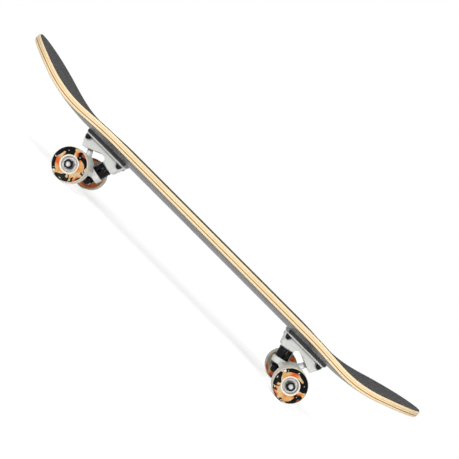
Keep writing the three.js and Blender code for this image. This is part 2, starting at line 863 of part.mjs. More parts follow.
// A truck points its axle end along its own +X, which is turned to face the nearer tip.
function truck(prefix, middle, turn) {
  const whole = new THREE.Group();
  whole.position.set(middle, 0, plateTop);
  whole.rotation.z = turn;
  const facing = Math.cos(turn);
  const riser = piece(`${prefix}_riser_pad`, shapes.riser, blackRubber);
  riser.position.z = pressGap + riserThickness;
  const cup = onPivot(piece(`${prefix}_pivot_cup`, shapes.pivotCup, blackUrethane));
  const axle = piece(`${prefix}_axle`, shapes.axle, brightSteel);
  axle.position.set(axleAlong, 0, -truckHeight);
  axle.rotation.x = Math.PI / 2;
  whole.add(riser);
  whole.add(piece(`${prefix}_baseplate`, shapes.baseplate, castAluminium));
  whole.add(cup);
  whole.add(kingpinStack(prefix));
  whole.add(piece(`${prefix}_hanger`, shapes.hanger, castAluminium));
  whole.add(axle);
  for (const side of sides) whole.add(wheelSet(`${prefix}_${side.name}`, side.y * Math.sign(facing)));
  return whole;
}

// The bolts that clamp a truck to the deck, with their nuts under the baseplate.
function boltSet(prefix, middle) {
  const set = new THREE.Group();
  const nutTop = plateTop - plateThickness - pressGap;
  for (const { along, across, x, y, top } of boltPlaces(middle)) {
    const outer = along * Math.sign(middle) > 0 ? "outer" : "inner";
    const side = sides.find((candidate) => candidate.y === across).name;
    const headTop = top + pressGap + gripThickness - boltSunk;
    const length = headTop - nutTop + boltNutHeight + boltEnd;
    const bolt = piece(`${prefix}_bolt_${outer}_${side}`, boltGeometry(length), blackSteel);
    bolt.position.set(x, y, headTop);
    const nut = piece(`${prefix}_nut_${outer}_${side}`, shapes.boltNut, blackSteel);
    nut.position.set(x, y, nutTop);
    nut.rotation.z = Math.PI / 6; // flats across the board
    set.add(bolt, nut);
  }
  return set;
}

const group = new THREE.Group();
group.add(piece("deck", deckGeometry(), maple));
group.add(piece("grip_tape", gripGeometry(), grit));
group.add(truck("nose", noseBolts, Math.PI));
group.add(truck("tail", tailBolts, 0));
group.add(boltSet("nose", noseBolts));
group.add(boltSet("tail", tailBolts));

export default group;
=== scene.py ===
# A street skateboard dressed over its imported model: a seven-ply maple deck under grip tape,
# two sprung trucks and four printed urethane wheels on ball bearings.
# Metres, +X towards the tail, +Y to the rider's right when facing the nose, the ground at Z = 0.
import json
import math

import bmesh
import bpy
from mathutils import Matrix, Vector


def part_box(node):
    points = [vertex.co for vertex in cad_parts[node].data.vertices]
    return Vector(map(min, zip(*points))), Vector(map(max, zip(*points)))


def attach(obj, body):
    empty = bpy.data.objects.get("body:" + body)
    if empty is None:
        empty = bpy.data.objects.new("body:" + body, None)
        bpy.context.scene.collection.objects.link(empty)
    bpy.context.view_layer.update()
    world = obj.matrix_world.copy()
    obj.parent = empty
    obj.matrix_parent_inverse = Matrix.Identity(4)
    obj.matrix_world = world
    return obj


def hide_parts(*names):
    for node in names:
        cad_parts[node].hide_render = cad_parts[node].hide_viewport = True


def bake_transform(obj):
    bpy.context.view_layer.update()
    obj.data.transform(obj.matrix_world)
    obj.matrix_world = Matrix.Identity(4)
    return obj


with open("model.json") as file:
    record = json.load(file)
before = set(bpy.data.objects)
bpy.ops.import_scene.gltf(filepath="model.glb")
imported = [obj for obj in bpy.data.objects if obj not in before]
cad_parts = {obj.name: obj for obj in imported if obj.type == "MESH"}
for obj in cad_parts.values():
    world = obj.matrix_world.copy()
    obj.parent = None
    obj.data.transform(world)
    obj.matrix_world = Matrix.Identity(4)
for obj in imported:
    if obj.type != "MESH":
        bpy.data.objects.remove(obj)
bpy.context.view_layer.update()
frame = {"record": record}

# Deck
DECK_THICKNESS = 0.0112
PLIES = 7
CONCAVE_DEPTH = 0.0094
NOSE_CONCAVE = 0.0043
TAIL_CONCAVE = 0.0046
NOSE_LENGTH = 0.1586  # from the outer bolts to the tip
TAIL_LENGTH = 0.1559
NOSE_KICK_GAP = 0.0103
NOSE_KICK_RADIUS = 0.241
NOSE_KICK_ANGLE = math.radians(19.8)
TAIL_KICK_GAP = 0.0037
TAIL_KICK_RADIUS = 0.224
TAIL_KICK_ANGLE = math.radians(19.7)
FADE_INSIDE = 0.060
FADE_LENGTH = 0.110
NOSE_TAPER = 0.0988
TAIL_TAPER = 0.120
NOSE_ROUNDNESS = 2.1
TAIL_ROUNDNESS = 2.06
EDGE_ROUND = 0.002
DEPTH_MAP = "depth"
EDGE_DEPTHS = (0, 0.0001, 0.0003, 0.0006, 0.001, 0.0014, 0.002)  # where the rounded edge has points
STAIN_DEPTH = 0.0109  # the stain wraps round the lower edge from here down
GRIP_THICKNESS = 0.0009
GRIP_EDGE = 0.00012
TIP_STEPS = 44
RAIL_STEPS = 110
ACROSS_STEPS = 36

# Truck bolts
BOLT_SPACING_LONG = 0.0635
BOLT_SPACING_WIDE = 0.0413
BOLT_DIAMETER = 0.005
BOLT_PITCH = 0.0008
BOLT_HEAD_DIAMETER = 0.0094
BOLT_HEAD_RIM = 0.0007
BOLT_SOCKET_WIDTH = 0.0032
BOLT_SOCKET_DEPTH = 0.0022
BOLT_CLEARANCE = 0.0003
BOLT_THREAD = 0.014
BOLT_NUT_WIDTH = 0.008
BOLT_NUT_HEX = 0.0042  # the rest of its height is the rounded collar
BOLT_TIP = (0.75, 0.0005, 0.0006)  # share of its radius, length, and run-out above the thread
BOLT_EDGE = (0.0001, 0.0002)  # the head's rounding under its rim and up it
SOCKET_CHAMFER = 0.0003
SOCKET_POINT = 0.0006

# Clearances
PRESS_GAP = 0.0001
SEAT_GAP = 0.0003
OVERRUN = 0.020
RISER_CLEAR = 0.00005  # between the riser pad's dished top and the deck

# Riser pad and baseplate
RISER_OVERHANG = 0.0013
RISER_CUTS = 28  # bands across its dished top
RISER_FILLET = 0.00035
RISER_EDGE_ANGLE = math.radians(60)  # edges sharper than this get the fillet
PLATE_LENGTH = 0.0742
PLATE_WIDTH = 0.054
PLATE_THICKNESS = 0.0028
PLATE_CORNER = 0.006
PLATE_ROOT_WIDTH = 0.032
PLATE_DRAFT = math.radians(4)
PLATE_END_SLOPE = math.radians(18)
PLATE_OUTER_SLOPE = math.radians(27)
PLATE_OUTER_LIP = 0.001
SEAT_BOSS_FREE = 0.7  # share of the boss's outer half that the arch leaves free
ARCH_SEAT_HANDLE = Vector((0.0014, 0.0086))  # how far the arch's curve pulls up from each foot
ARCH_BOSS_HANDLE = Vector((-0.0114, 0.0056))

# Kingpin and bushings, along an axis that leans outwards going down
KINGPIN_TILT = math.radians(13)
KINGPIN_ALONG = -0.0178
KINGPIN_SEAT_DROP = 0.0204
KINGPIN_DIAMETER = 0.0095
KINGPIN_PITCH = 0.00106
KINGPIN_CLEARANCE = 0.00025
KINGPIN_HEAD_WIDTH = 0.0142
KINGPIN_HEAD_HEIGHT = 0.006
KINGPIN_HEAD_SEAT = 0.011
KINGPIN_POCKET_DIAMETER = 0.018
KINGPIN_END = 0.0012
KINGPIN_THREAD = 0.012
KINGPIN_TIP = (0.78, 0.0006, 0.001)  # as BOLT_TIP
KINGPIN_NUT_WIDTH = 0.013
KINGPIN_NUT_HEIGHT = 0.007
KINGPIN_NUT_HEX = 0.0052
SEAT_BOSS_DIAMETER = 0.023
SEAT_BOSS_HEIGHT = 0.0015
WASHER_THICKNESS = 0.0012
WASHER_BORE_FILLETS = (0.0001, 0.0002)
WASHER_CUP_FILLET = 0.0005
WASHER_LIP_FILLET = 0.0004
WASHER_SHOULDER_FILLET = 0.0011
UPPER_WASHER_DIAMETER = 0.023
UPPER_WASHER_LIP = 0.0016
LOWER_WASHER_DIAMETER = 0.0176
LOWER_WASHER_LIP = 0.001
UPPER_BUSHING_LENGTH = 0.0167
UPPER_BUSHING_DIAMETER = 0.0226
UPPER_BUSHING_TOP_DIAMETER = 0.020
UPPER_BUSHING_SEAT_DIAMETER = 0.021
UPPER_SEAT_DEPTH = 0.0025
LOWER_BUSHING_LENGTH = 0.0068
LOWER_BUSHING_DIAMETER = 0.0196
LOWER_BUSHING_END_DIAMETER = 0.0136
LOWER_SEAT_DEPTH = 0.0025
BELLY_STEPS = 8
BELLY_START = 0.12  # the belly follows this stretch of half a wave
BELLY_SPAN = 0.76
BELLY_FULLNESS = 0.6  # the wave's power: less is fuller
BELLY_FOOT = 0.94  # where the belly starts, and how much it covers, as shares of its free length
BELLY_LENGTH = 0.9
BUSHING_FOOT_CHAMFER = 0.0006
BUSHING_TOP_EDGE = 0.0002
BUSHING_TOP_CHAMFER = 0.0008
BUSHING_FILLET = 0.0008
BUSHING_SEAT_FILLET = 0.0004
BUSHING_BORE_FILLET = 0.0003
LOWER_SKIRT = 0.3  # height of its straight side, as a share of its seat's depth

# Hanger
RING_HEIGHT = 0.010
RING_TOP_DIAMETER = 0.0254
RING_BOTTOM_DIAMETER = 0.0234
RING_HOLE_DIAMETER = 0.0128
NUT_ROOM_DIAMETER = 0.023
HANGER_WIDTH = 0.1376
HANGER_END_DIAMETER = 0.018
HANGER_SHOULDER_DIAMETER = 0.020
HANGER_SHOULDER_LENGTH = 0.008
WEB_THICKNESS = 0.017
WING_REACH = 0.048
WING_THICKNESS = 0.010
ARM_BLEND = 0.010
ARM_END_FILLET = 0.0012
RING_FILLET = 0.0015

# Pivot
PIVOT_ALONG = 0.022
PIVOT_DROP = 0.0109
PIVOT_TILT = math.radians(23)
PIVOT_BALL_DIAMETER = 0.008
BALL_TURNS = (0, 0.4, 0.8, 1.2)  # latitudes of the rows up a ball
STEM_DIAMETER = 0.0086
STEM_FOOT_DIAMETER = 0.0116
STEM_LENGTH = 0.018
CUP_DEPTH = 0.0077
CUP_CROWN = 0.0016
CUP_DIAMETER = 0.0126
CUP_MOUTH_DIAMETER = 0.011
CUP_MOUTH_FILLETS = (0.0003, 0.0004)
CUP_CROWN_FILLET = 0.001
CUP_FIRST_TURN = 1.5  # latitude of its bowl's first row
BOSS_INNER = 0.0093
BOSS_OUTER = 0.0119
HEEL_ROUND = 0.003

# Axle, wheels and bearings
AXLE_ALONG = 0.0069
TRUCK_HEIGHT = 0.0493
AXLE_DIAMETER = 0.008
AXLE_PITCH = 0.00106
AXLE_CHAMFER = 0.0013
AXLE_PLAIN = 0.026  # from the hanger to where the thread starts
AXLE_RUNOUT = 0.0008
AXLE_CLEARANCE = 0.00015
AXLE_NUT_WIDTH = 0.0122
AXLE_NUT_HEX = 0.0056
SPEED_WASHER_THICKNESS = 0.001
SPEED_WASHER_DIAMETER = 0.012
BEARING_DIAMETER = 0.022
BEARING_WIDTH = 0.007
WHEEL_CLEAR = 0.00001  # between the tread and the ground
WHEEL_WIDTH = 0.032
TREAD_WIDTH = 0.018
WHEEL_FACE_RADIUS = 0.0221
SHOULDER_RISE = 0.0117  # height over the wheel's middle of the shoulder curve's handle at the tread
SHOULDER_TURN = (0.0242, 0.0149)  # radius and height of its handle at the face
WHEEL_RECESS = (  # radius, height, fillet
    (0.0138, 0.0149, 0.0004),
    (0.0134, 0.0152, 0.0003),
    (0.0124, 0.0152, 0.0004),
)
SEAT_MOUTH = 0.0138
SEAT_MOUTH_FILLET = 0.0004
SEAT_FLOOR = 0.005
WHEEL_CORE_RADIUS = 0.009
WHEEL_CORE_FILLET = 0.0003
BEARING_FILLET = 0.0004
SHIELD_RADIUS = 0.0095
SHIELD_STEPS = (  # radius, depth under the bearing's face, fillet
    (0.0095, 0, 0.0002),
    (0.0094, 0.0005, 0.0001),
    (0.0081, 0.0004, 0.0001),
    (0.0078, 0.0008, 0.0001),
    (0.0075, 0.0004, 0.0001),
    (0.0064, 0.0005, 0.0002),
)
INNER_RING_RADIUS = 0.006
INNER_RING_FILLETS = (0.0003, 0.0003)  # of its bore and of its rim
SPEED_WASHER_FILLETS = (0.0001, 0.0003)
PRINT_INNER = 0.0136
PRINT_OUTER = 0.0246
PRINT_MAP = "print"
PRINT_SOFTNESS = 0.0001
PRINT_CLEAR = 0.001  # the print keeps to this height over the tread's side
PRINT_CROWDING = (0.017, 0.0226)  # the dark licks crowd in between these radii

# How far each wheel's print and each axle nut are turned
WHEEL_TURNS = {"nose_left": 0.5, "nose_right": 3.6, "tail_left": 2.1, "tail_right": 5.6}
NUT_TURNS = {"nose_left": 0.32, "nose_right": 0.9, "tail_left": 0.18, "tail_right": 0.6}
PRINT_INKS = (  # place along the swirls' noise, paint chart colour
    (0.34, (128, 66, 36)),
    (0.41, (200, 84, 44)),
    (0.48, (196, 136, 74)),
    (0.54, (202, 158, 104)),
    (0.6, (198, 178, 142)),
    (0.67, (150, 150, 150)),
)
PRINT_BLACK = (10, 9, 11)
PRINT_WHITE = (226, 224, 216)

# Hexagons, threads and lock nuts
HEX_CHAMFER = 0.97  # where it starts, as a share of half the hexagon's width
HEX_CHAMFER_ANGLE = math.radians(28)
THREAD_DEPTH = 0.5  # as a share of the pitch
COLLAR_FOOT = 0.8  # the nylon collar's radii, as shares of half the nut's width
COLLAR_SEAT = 0.9
COLLAR_LIP = 0.0003
COLLAR_FILLETS = (0.0002, 0.0006)

# Cast pieces
PLATE_VOXEL = 0.00036
PLATE_SOFTENING = 8
HANGER_VOXEL = 0.00042
HANGER_SOFTENING = 14

# How finely round things are drawn
ROUND_SIDES = 96
WHEEL_SIDES = 192
NUT_SIDES = 72
SMALL_SIDES = 48
ARC_STEPS = 5
CHAMFER_STEPS = 5
CURVE_STEPS = 14
THREAD_STEPS = 5  # points along one turn's height
SHARP_ANGLE = math.radians(32)
FILLET_LIMIT = 2.01  # a fillet takes at most its side's length divided by this
WELD_DISTANCE = 1e-6

# Camera and light
CAMERA_PLACE = (0.00235, -1.1799, 0.10882)
CAMERA_PITCH = math.radians(90.7915)
CAMERA_ROLL = math.radians(-45.083)
CAMERA_YAW = math.radians(-0.7072)
CAMERA_LENS = 61.225
CAMERA_SENSOR = 36
SOFTBOX_DISTANCE = 1.9
SOFTBOX_AZIMUTHS = (math.radians(-19), math.radians(30))
SOFTBOX_HEIGHTS = (0.95, 0.75)
SOFTBOX_POWERS = (24, 15.5)
SOFTBOX_WIDTH = 0.45
SOFTBOX_LENGTH = 1.5
DAYLIGHT = 0.42  # of the world on the object; the backdrop itself is plain white
FLOOR_HALF = 6
FLOOR_LIFT = 0.6
WHITE = (1, 1, 1, 1)

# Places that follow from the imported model
BODY_OF = {}
for body_name, node_names in frame["record"]["behaviour"]["bodies"].items():
    BODY_OF.update(dict.fromkeys(node_names, body_name))
deck_low, deck_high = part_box("deck")
DECK_TOP = deck_low.z + DECK_THICKNESS
HALF_WIDTH = deck_high.y
NOSE_TIP = deck_low.x
TAIL_TIP = deck_high.x
NOSE_KICK = NOSE_TIP + NOSE_LENGTH - NOSE_KICK_GAP
TAIL_KICK = TAIL_TIP - TAIL_LENGTH + TAIL_KICK_GAP
PLATE_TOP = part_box("tail_riser_pad")[0].z - PRESS_GAP
WHEEL_RADIUS = sum(corner.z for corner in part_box("tail_axle")) / 2 - WHEEL_CLEAR


def centre_of(node):
    low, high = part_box(node)
    return (low + high) / 2


# Materials

def paint(red, green, blue):
    """A colour as a paint chart gives it, 0 to 255, in linear light."""
    def linear(level):
        share = level / 255
        return share / 12.92 if share <= 0.04045 else ((share + 0.055) / 1.055) ** 2.4
    return (linear(red), linear(green), linear(blue), 1)


class Nodes:
    """A node tree and short ways to add to it. Inputs are other nodes' outputs or plain values."""

    def __init__(self, tree):
        self.tree = tree

    def feed(self, socket, value):
        if isinstance(value, bpy.types.NodeSocket):
            self.tree.links.new(value, socket)
        else:
            socket.default_value = value

    def add(self, kind, inputs=(), **settings):
        """The outputs of a new node."""
        made = self.tree.nodes.new("ShaderNode" + kind)
        for name, value in settings.items():
            setattr(made, name, value)
        for name, value in dict(inputs).items():
            self.feed(made.inputs[name], value)
        return made.outputs

    def maths(self, operation, *values, clamp=False):
        """The outcome of one operation on one or two values."""
        return self.add("Math", enumerate(values), operation=operation, use_clamp=clamp)[0]

    def times(self, first, second):
        return self.maths("MULTIPLY", first, second)

    def stretched(self, place, scales):
        return self.add("VectorMath", {0: place, 1: scales}, operation="MULTIPLY")[0]

    def length_of(self, vector):
        return self.add("VectorMath", {0: vector}, operation="LENGTH")["Value"]

    def noise(self, place, scale, detail, roughness, distortion=0.0):
        inputs = {"Vector": place, "Scale": scale, "Detail": detail}
        inputs.update({"Roughness": roughness, "Distortion": distortion})
        return self.add("TexNoise", inputs)["Fac"]

    def step_up(self, value, low, high, start=0.0, end=1.0):
        """A value that goes smoothly from start to end as the given one goes from low to high."""
        inputs = {"Value": value, "From Min": low, "From Max": high, "To Min": start, "To Max": end}
        return self.add("MapRange", inputs, interpolation_type="SMOOTHSTEP")[0]

    def tint(self, share, first, second):
        """A colour between two, each an output or a paint chart's (red, green, blue)."""
        inputs = {0: share}
        for socket, colour in ((6, first), (7, second)):
            inputs[socket] = paint(*colour) if isinstance(colour, tuple) else colour
        return self.add("Mix", inputs, data_type="RGBA")[2]

    def bands(self, value, stops):
        """A colour ramp with the given (place, paint chart colour) stops."""
        ramp = self.tree.nodes.new("ShaderNodeValToRGB")
        self.feed(ramp.inputs["Fac"], value)
        elements = ramp.color_ramp.elements
        for place, colour in stops[1:-1]:
            elements.new(place).color = paint(*colour)
        for element, (place, colour) in ((elements[0], stops[0]), (elements[-1], stops[-1])):
            element.position = place
            element.color = paint(*colour)
        return ramp.outputs["Color"]


class Finish(Nodes):
    """A material: its shader's inputs, the piece's own coordinates and the colour laid on so far."""

    def __init__(self, name, **constants):
        self.material = bpy.data.materials.new(name)
        self.material.use_nodes = True
        super().__init__(self.material.node_tree)
        self.shader = self.tree.nodes["Principled BSDF"].inputs
        for label, value in constants.items():
            self.shader[label.replace("_", " ")].default_value = value
        self.place = self.tree.nodes.new("ShaderNodeTexCoord").outputs["Object"]

    def use(self, group, **values):
        """Sets an effect in the material and gives its outputs."""
        if any(item.name == "Place" for item in group.interface.items_tree):
            values["Place"] = self.place
        return self.add("Group", values, node_tree=group)

    def mapped(self, name):
        """A UV map's own coordinates."""
        return self.add("UVMap", uv_map=name)[0]

    def begin(self, share, first, second):
        self.base = self.tint(share, first, second)

    def lay(self, share, colour):
        """Lays a colour over what is there."""
        self.base = self.tint(share, self.base, colour)

    def wear_and_shade(self, group, colour, **values):
        """Lays a colour where an effect has its mask; the effects give real wear and, for creases,
        painted shade.
        """
        self.lay(self.use(group, **values)["Mask"], colour)

    def done(self, roughness, height, distance, strength):
        """Feeds the shader its colour, its roughness and its bumps, and gives the material."""
        self.feed(self.shader["Base Color"], self.base)
        self.feed(self.shader["Roughness"], roughness)
        bump = self.add("Bump", {"Height": height, "Distance": distance, "Strength": strength})
        self.feed(self.shader["Normal"], bump[0])
        return self.material


def effect(name, results, placed=True, **amounts):
    """A node group with its two ends: a Place and amounts go in, the results come out."""
    tree = bpy.data.node_groups.new(name, "ShaderNodeTree")
    if placed:
        tree.interface.new_socket("Place", in_out="INPUT", socket_type="NodeSocketVector")
    for label, value in amounts.items():
        socket = tree.interface.new_socket(label, in_out="INPUT", socket_type="NodeSocketFloat")
        socket.default_value = value
    for label in results:
        tree.interface.new_socket(label, in_out="OUTPUT", socket_type="NodeSocketFloat")
    start = tree.nodes.new("NodeGroupInput").outputs
    end = tree.nodes.new("NodeGroupOutput").inputs
    return Nodes(tree), start, end


def veneer_grain():
    """Long streaks along X with short dark pores between them."""
    work, start, end = effect("veneer grain", ("Streak", "Pores"), Fineness=300.0)
    drawn = work.stretched(start["Place"], (0.035, 1, 1))
    streak = work.noise(drawn, start["Fineness"], detail=6, roughness=0.62, distortion=0.4)
    work.feed(end["Streak"], work.step_up(streak, 0.32, 0.68))
    fine = work.stretched(start["Place"], (0.16, 3, 3))
    pores = work.noise(fine, start["Fineness"], detail=3, roughness=0.5)
    work.feed(end["Pores"], work.step_up(pores, 0.58, 0.74))
    return work.tree


def mineral_grit():
    """Packed grains: their height, and a mask of the few that catch the light, for a painted glint."""
    work, start, end = effect("mineral grit", ("Height", "Glint"), Fineness=1500.0)
    inputs = {"Vector": start["Place"], "Scale": start["Fineness"], "Randomness": 1.0}
    grains = work.add("TexVoronoi", inputs, feature="F1")
    height = work.step_up(grains["Distance"], 0.05, 0.75, 1, 0)
    work.feed(end["Height"], height)
    lot = work.add("SeparateColor", {"Color": grains["Color"]})[0]
    work.feed(end["Glint"], work.times(work.step_up(lot, 0.86, 0.99), height))
    return work.tree


def cast_skin():
    """The fine orange peel of a casting, and its slow changes of tone."""
    work, start, end = effect("cast skin", ("Height", "Tone"), Fineness=900.0)
    work.feed(end["Height"], work.noise(start["Place"], start["Fineness"], detail=5, roughness=0.6))
    slow = work.noise(start["Place"], 70, detail=4, roughness=0.6)
    work.feed(end["Tone"], work.step_up(slow, 0.3, 0.7))
    return work.tree


def handling_scuffs():
    """Thin scratches in two directions, broken up so that most of the surface stays clean."""
    work, start, end = effect("handling scuffs", ("Mask",), Amount=0.5)
    where = work.step_up(work.noise(start["Place"], 55, detail=3, roughness=0.6), 0.48, 0.7)
    strokes = []
    for turn in (0.5, -1.1):
        inputs = {"Vector": start["Place"], "Angle": turn, "Axis": (0.3, 1, 0.4)}
        rotated = work.add("VectorRotate", inputs, rotation_type="AXIS_ANGLE")[0]
        drawn = work.stretched(rotated, (0.05, 1, 0.6))
        strokes.append(work.step_up(work.noise(drawn, 2600, detail=2, roughness=0.5), 0.66, 0.74))
    worn = work.times(work.maths("MAXIMUM", *strokes), where)
    work.feed(end["Mask"], work.times(worn, start["Amount"]))
    return work.tree


def lathe_marks():
    """Fine rings round the piece's own Z, as a turning tool leaves."""
    work, start, end = effect("lathe marks", ("Height",), Fineness=9000.0)
    radius = work.length_of(work.stretched(start["Place"], (1, 1, 0)))
    along = work.add("SeparateXYZ", {0: start["Place"]})["Z"]
    drawn = work.add("CombineXYZ", {"X": radius, "Y": along, "Z": 0.0})[0]
    work.feed(end["Height"], work.noise(drawn, start["Fineness"], detail=2, roughness=0.5))
    return work.tree


def worn_edges():
    """A broken line along sharp edges, within a given width of them."""
    work, start, end = effect("worn edges", ("Mask",), Width=0.0004, Amount=0.5)
    softened = work.add("Bevel", {"Radius": start["Width"]}, samples=4)[0]
    facing = work.add("NewGeometry")["Normal"]
    match = work.add("VectorMath", {0: softened, 1: facing}, operation="DOT_PRODUCT")["Value"]
    edge = work.step_up(match, 0.86, 0.99, 1, 0)
    broken = work.step_up(work.noise(start["Place"], 800, detail=4, roughness=0.65), 0.42, 0.62)
    work.feed(end["Mask"], work.times(work.times(edge, broken), start["Amount"]))
    return work.tree


def painted_crease_shade():
    """Painted shade in creases: how much a place is closed in by its neighbours, within a given reach."""
    work, start, end = effect("painted crease shade", ("Mask",), placed=False, Reach=0.004, Amount=0.5)
    openness = work.add("AmbientOcclusion", {"Distance": start["Reach"]}, samples=8)["AO"]
    closed = work.step_up(openness, 0.55, 0.97, 1, 0)
    work.feed(end["Mask"], work.times(closed, start["Amount"]))
    return work.tree


GRAIN = veneer_grain()
GRIT = mineral_grit()
SKIN = cast_skin()
SCUFFS = handling_scuffs()
MARKS = lathe_marks()
EDGES = worn_edges()
# painted shade: a mask that darkens creases and places under overhangs
CREASE_SHADE = painted_crease_shade()


def veneer(name, pale, dark, contrast):
    """A ply seen from its edge. The UV map's V is the depth below the deck's top."""
    ply = Finish(name)
    grain = ply.use(GRAIN, Fineness=900.0)
    broad = ply.use(GRAIN, Fineness=210.0)
    ply.begin(ply.times(grain["Streak"], contrast), pale, dark)
    ply.lay(ply.times(broad["Streak"], contrast * 0.8), dark)
    depth = ply.add("SeparateXYZ", {0: ply.mapped(DEPTH_MAP)})["Y"]
    seam = ply.maths("PINGPONG", ply.times(depth, PLIES / DECK_THICKNESS), 1.0)
    near_seam = ply.maths("MINIMUM", seam, ply.maths("SUBTRACT", 1.0, seam))
    line = ply.step_up(near_seam, 0.03, 0.1, 0.55, 0)
    ply.lay(line, (150, 104, 58))
    ply.lay(ply.times(grain["Pores"], 0.25), (146, 100, 56))
    height = ply.maths("SUBTRACT", grain["Streak"], line)
    rough = ply.step_up(grain["Streak"], 0, 1, 0.42, 0.6)
    return ply.done(rough, height, distance=0.00008, strength=0.7)


def stained_underside():
    stain = Finish("stained underside", Specular_IOR_Level=0.4)
    grain = stain.use(GRAIN, Fineness=420.0)
    scuffs = stain.use(SCUFFS, Amount=0.6)["Mask"]
    stain.begin(grain["Streak"], (46, 45, 46), (60, 58, 59))
    stain.lay(stain.times(grain["Pores"], 0.5), (30, 29, 30))
    stain.lay(scuffs, (104, 98, 90))
    rough = stain.step_up(grain["Streak"], 0, 1, 0.3, 0.4)
    rough = stain.maths("ADD", rough, scuffs)
    return stain.done(rough, grain["Streak"], distance=0.00005, strength=0.5)


def grip_tape():
    tape = Finish("grip tape")
    fine = tape.use(GRIT, Fineness=2100.0)
    coarse = tape.use(GRIT, Fineness=1150.0)
    slow = tape.noise(tape.place, 26, detail=4, roughness=0.6)
    tape.begin(fine["Height"], (38, 38, 40), (70, 70, 72))
    tape.lay(tape.step_up(slow, 0.35, 0.7, 0, 0.3), (76, 75, 76))
    # painted highlight: lighter colour on the few grains that would glint
    tape.lay(coarse["Glint"], (160, 160, 162))
    height = tape.maths("ADD", fine["Height"], coarse["Height"])
    rough = tape.step_up(coarse["Glint"], 0, 1, 0.95, 0.4)
    return tape.done(rough, height, distance=0.00022, strength=0.9)


def moulded_rubber():
    rubber = Finish("moulded rubber")
    skin = rubber.use(SKIN, Fineness=1400.0)
    rubber.begin(skin["Tone"], (18, 18, 19), (32, 32, 34))
    rubber.wear_and_shade(SCUFFS, (96, 96, 98), Amount=0.5)
    rubber.wear_and_shade(EDGES, (88, 88, 90), Width=0.0005, Amount=0.4)
    rough = rubber.step_up(skin["Tone"], 0, 1, 0.34, 0.48)
    return rubber.done(rough, skin["Height"], distance=0.00012, strength=0.6)


def cast_aluminium():
    metal = Finish("cast aluminium", Metallic=0.2)
    skin = metal.use(SKIN, Fineness=1100.0)
    metal.begin(skin["Tone"], (232, 234, 230), (244, 246, 243))
    metal.wear_and_shade(SCUFFS, (178, 178, 176), Amount=0.4)
    metal.wear_and_shade(EDGES, (246, 247, 246), Width=0.0006, Amount=0.7)
    # painted shade: dark colour in creases and under the plate's edge
    metal.wear_and_shade(CREASE_SHADE, (78, 78, 75), Reach=0.005, Amount=0.85)
    rough = metal.step_up(skin["Tone"], 0, 1, 0.38, 0.5)
    return metal.done(rough, skin["Height"], distance=0.00016, strength=0.5)


def turned_steel(name, dull, bright, roughness, metallic):
    """Steel turned on a lathe, plated or blackened."""
    steel = Finish(name, Metallic=metallic, Specular_IOR_Level=0.3)
    slow = steel.noise(steel.place, 240, detail=4, roughness=0.6)
    steel.begin(steel.step_up(slow, 0.35, 0.65), dull, bright)
    scuffs = steel.use(SCUFFS, Amount=0.5)["Mask"]
    edges = steel.use(EDGES, Width=0.0003, Amount=0.6)["Mask"]
    steel.lay(steel.maths("MAXIMUM", scuffs, edges), (150, 150, 152))
    # painted shade: near-black colour in the creases
    steel.wear_and_shade(CREASE_SHADE, (20, 20, 19), Reach=0.0014, Amount=0.8)
    rough = steel.step_up(slow, 0.3, 0.7, roughness * 0.8, roughness * 1.25)
    rings = steel.use(MARKS, Fineness=7000.0)["Height"]
    return steel.done(rough, rings, distance=0.00003, strength=0.35)


def black_urethane(name, roughness):
    gloss = {"Specular_IOR_Level": 0.05, "Coat_Weight": 0.16, "Coat_Roughness": 0.03}
    urethane = Finish(name, **gloss)
    skin = urethane.use(SKIN, Fineness=700.0)
    urethane.begin(skin["Tone"], (5, 5, 6), (13, 13, 14))
    urethane.wear_and_shade(EDGES, (70, 70, 72), Width=0.0004, Amount=0.3)
    rough = urethane.step_up(skin["Height"], 0.3, 0.7, roughness * 0.8, roughness * 1.3)
    return urethane.done(rough, skin["Height"], distance=0.00004, strength=0.3)


def wheel_print(urethane, height):
    """The colour of the printed ring: warm swirls, dark licks that crowd to the rim, pale flecks."""
    flat = urethane.mapped(PRINT_MAP)
    side = urethane.add("CombineXYZ", {2: urethane.maths("SIGN", height)})[0]
    face = urethane.add("VectorMath", {0: flat, 1: side}, operation="ADD")[0]
    ink = urethane.bands(urethane.noise(face, 30, detail=1.2, roughness=0.5, distortion=1.8), PRINT_INKS)
    licks = urethane.noise(face, 46, detail=1.5, roughness=0.5, distortion=1.4)
    towards_rim = urethane.step_up(urethane.length_of(flat), *PRINT_CROWDING, 0, 0.13)
    outer_face = urethane.step_up(height, 0, PRINT_SOFTNESS, -0.6, 1)  # the inner face has a warmer rim
    crowded = urethane.maths("SUBTRACT", licks, urethane.times(towards_rim, outer_face))
    dark = urethane.step_up(crowded, 0.452, 0.472, 1, 0)
    ink = urethane.tint(dark, ink, PRINT_BLACK)
    specks = urethane.noise(face, 150, detail=1, roughness=0.5, distortion=0.8)
    flecks = urethane.step_up(specks, 0.66, 0.69, 0, 0.9)
    return urethane.tint(urethane.times(flecks, dark), ink, PRINT_WHITE)


def printed_share(urethane, height):
    """1 on the printed ring of either face."""
    soft = PRINT_SOFTNESS
    radius = urethane.length_of(urethane.mapped(PRINT_MAP))
    outside_hub = urethane.step_up(radius, PRINT_INNER - soft, PRINT_INNER + soft)
    inside_rim = urethane.step_up(radius, PRINT_OUTER - soft, PRINT_OUTER + soft, 1, 0)
    lowest = TREAD_WIDTH / 2 + PRINT_CLEAR
    on_face = urethane.step_up(urethane.maths("ABSOLUTE", height), lowest, lowest + 2 * soft)
    return urethane.times(urethane.times(outside_hub, inside_rim), on_face)


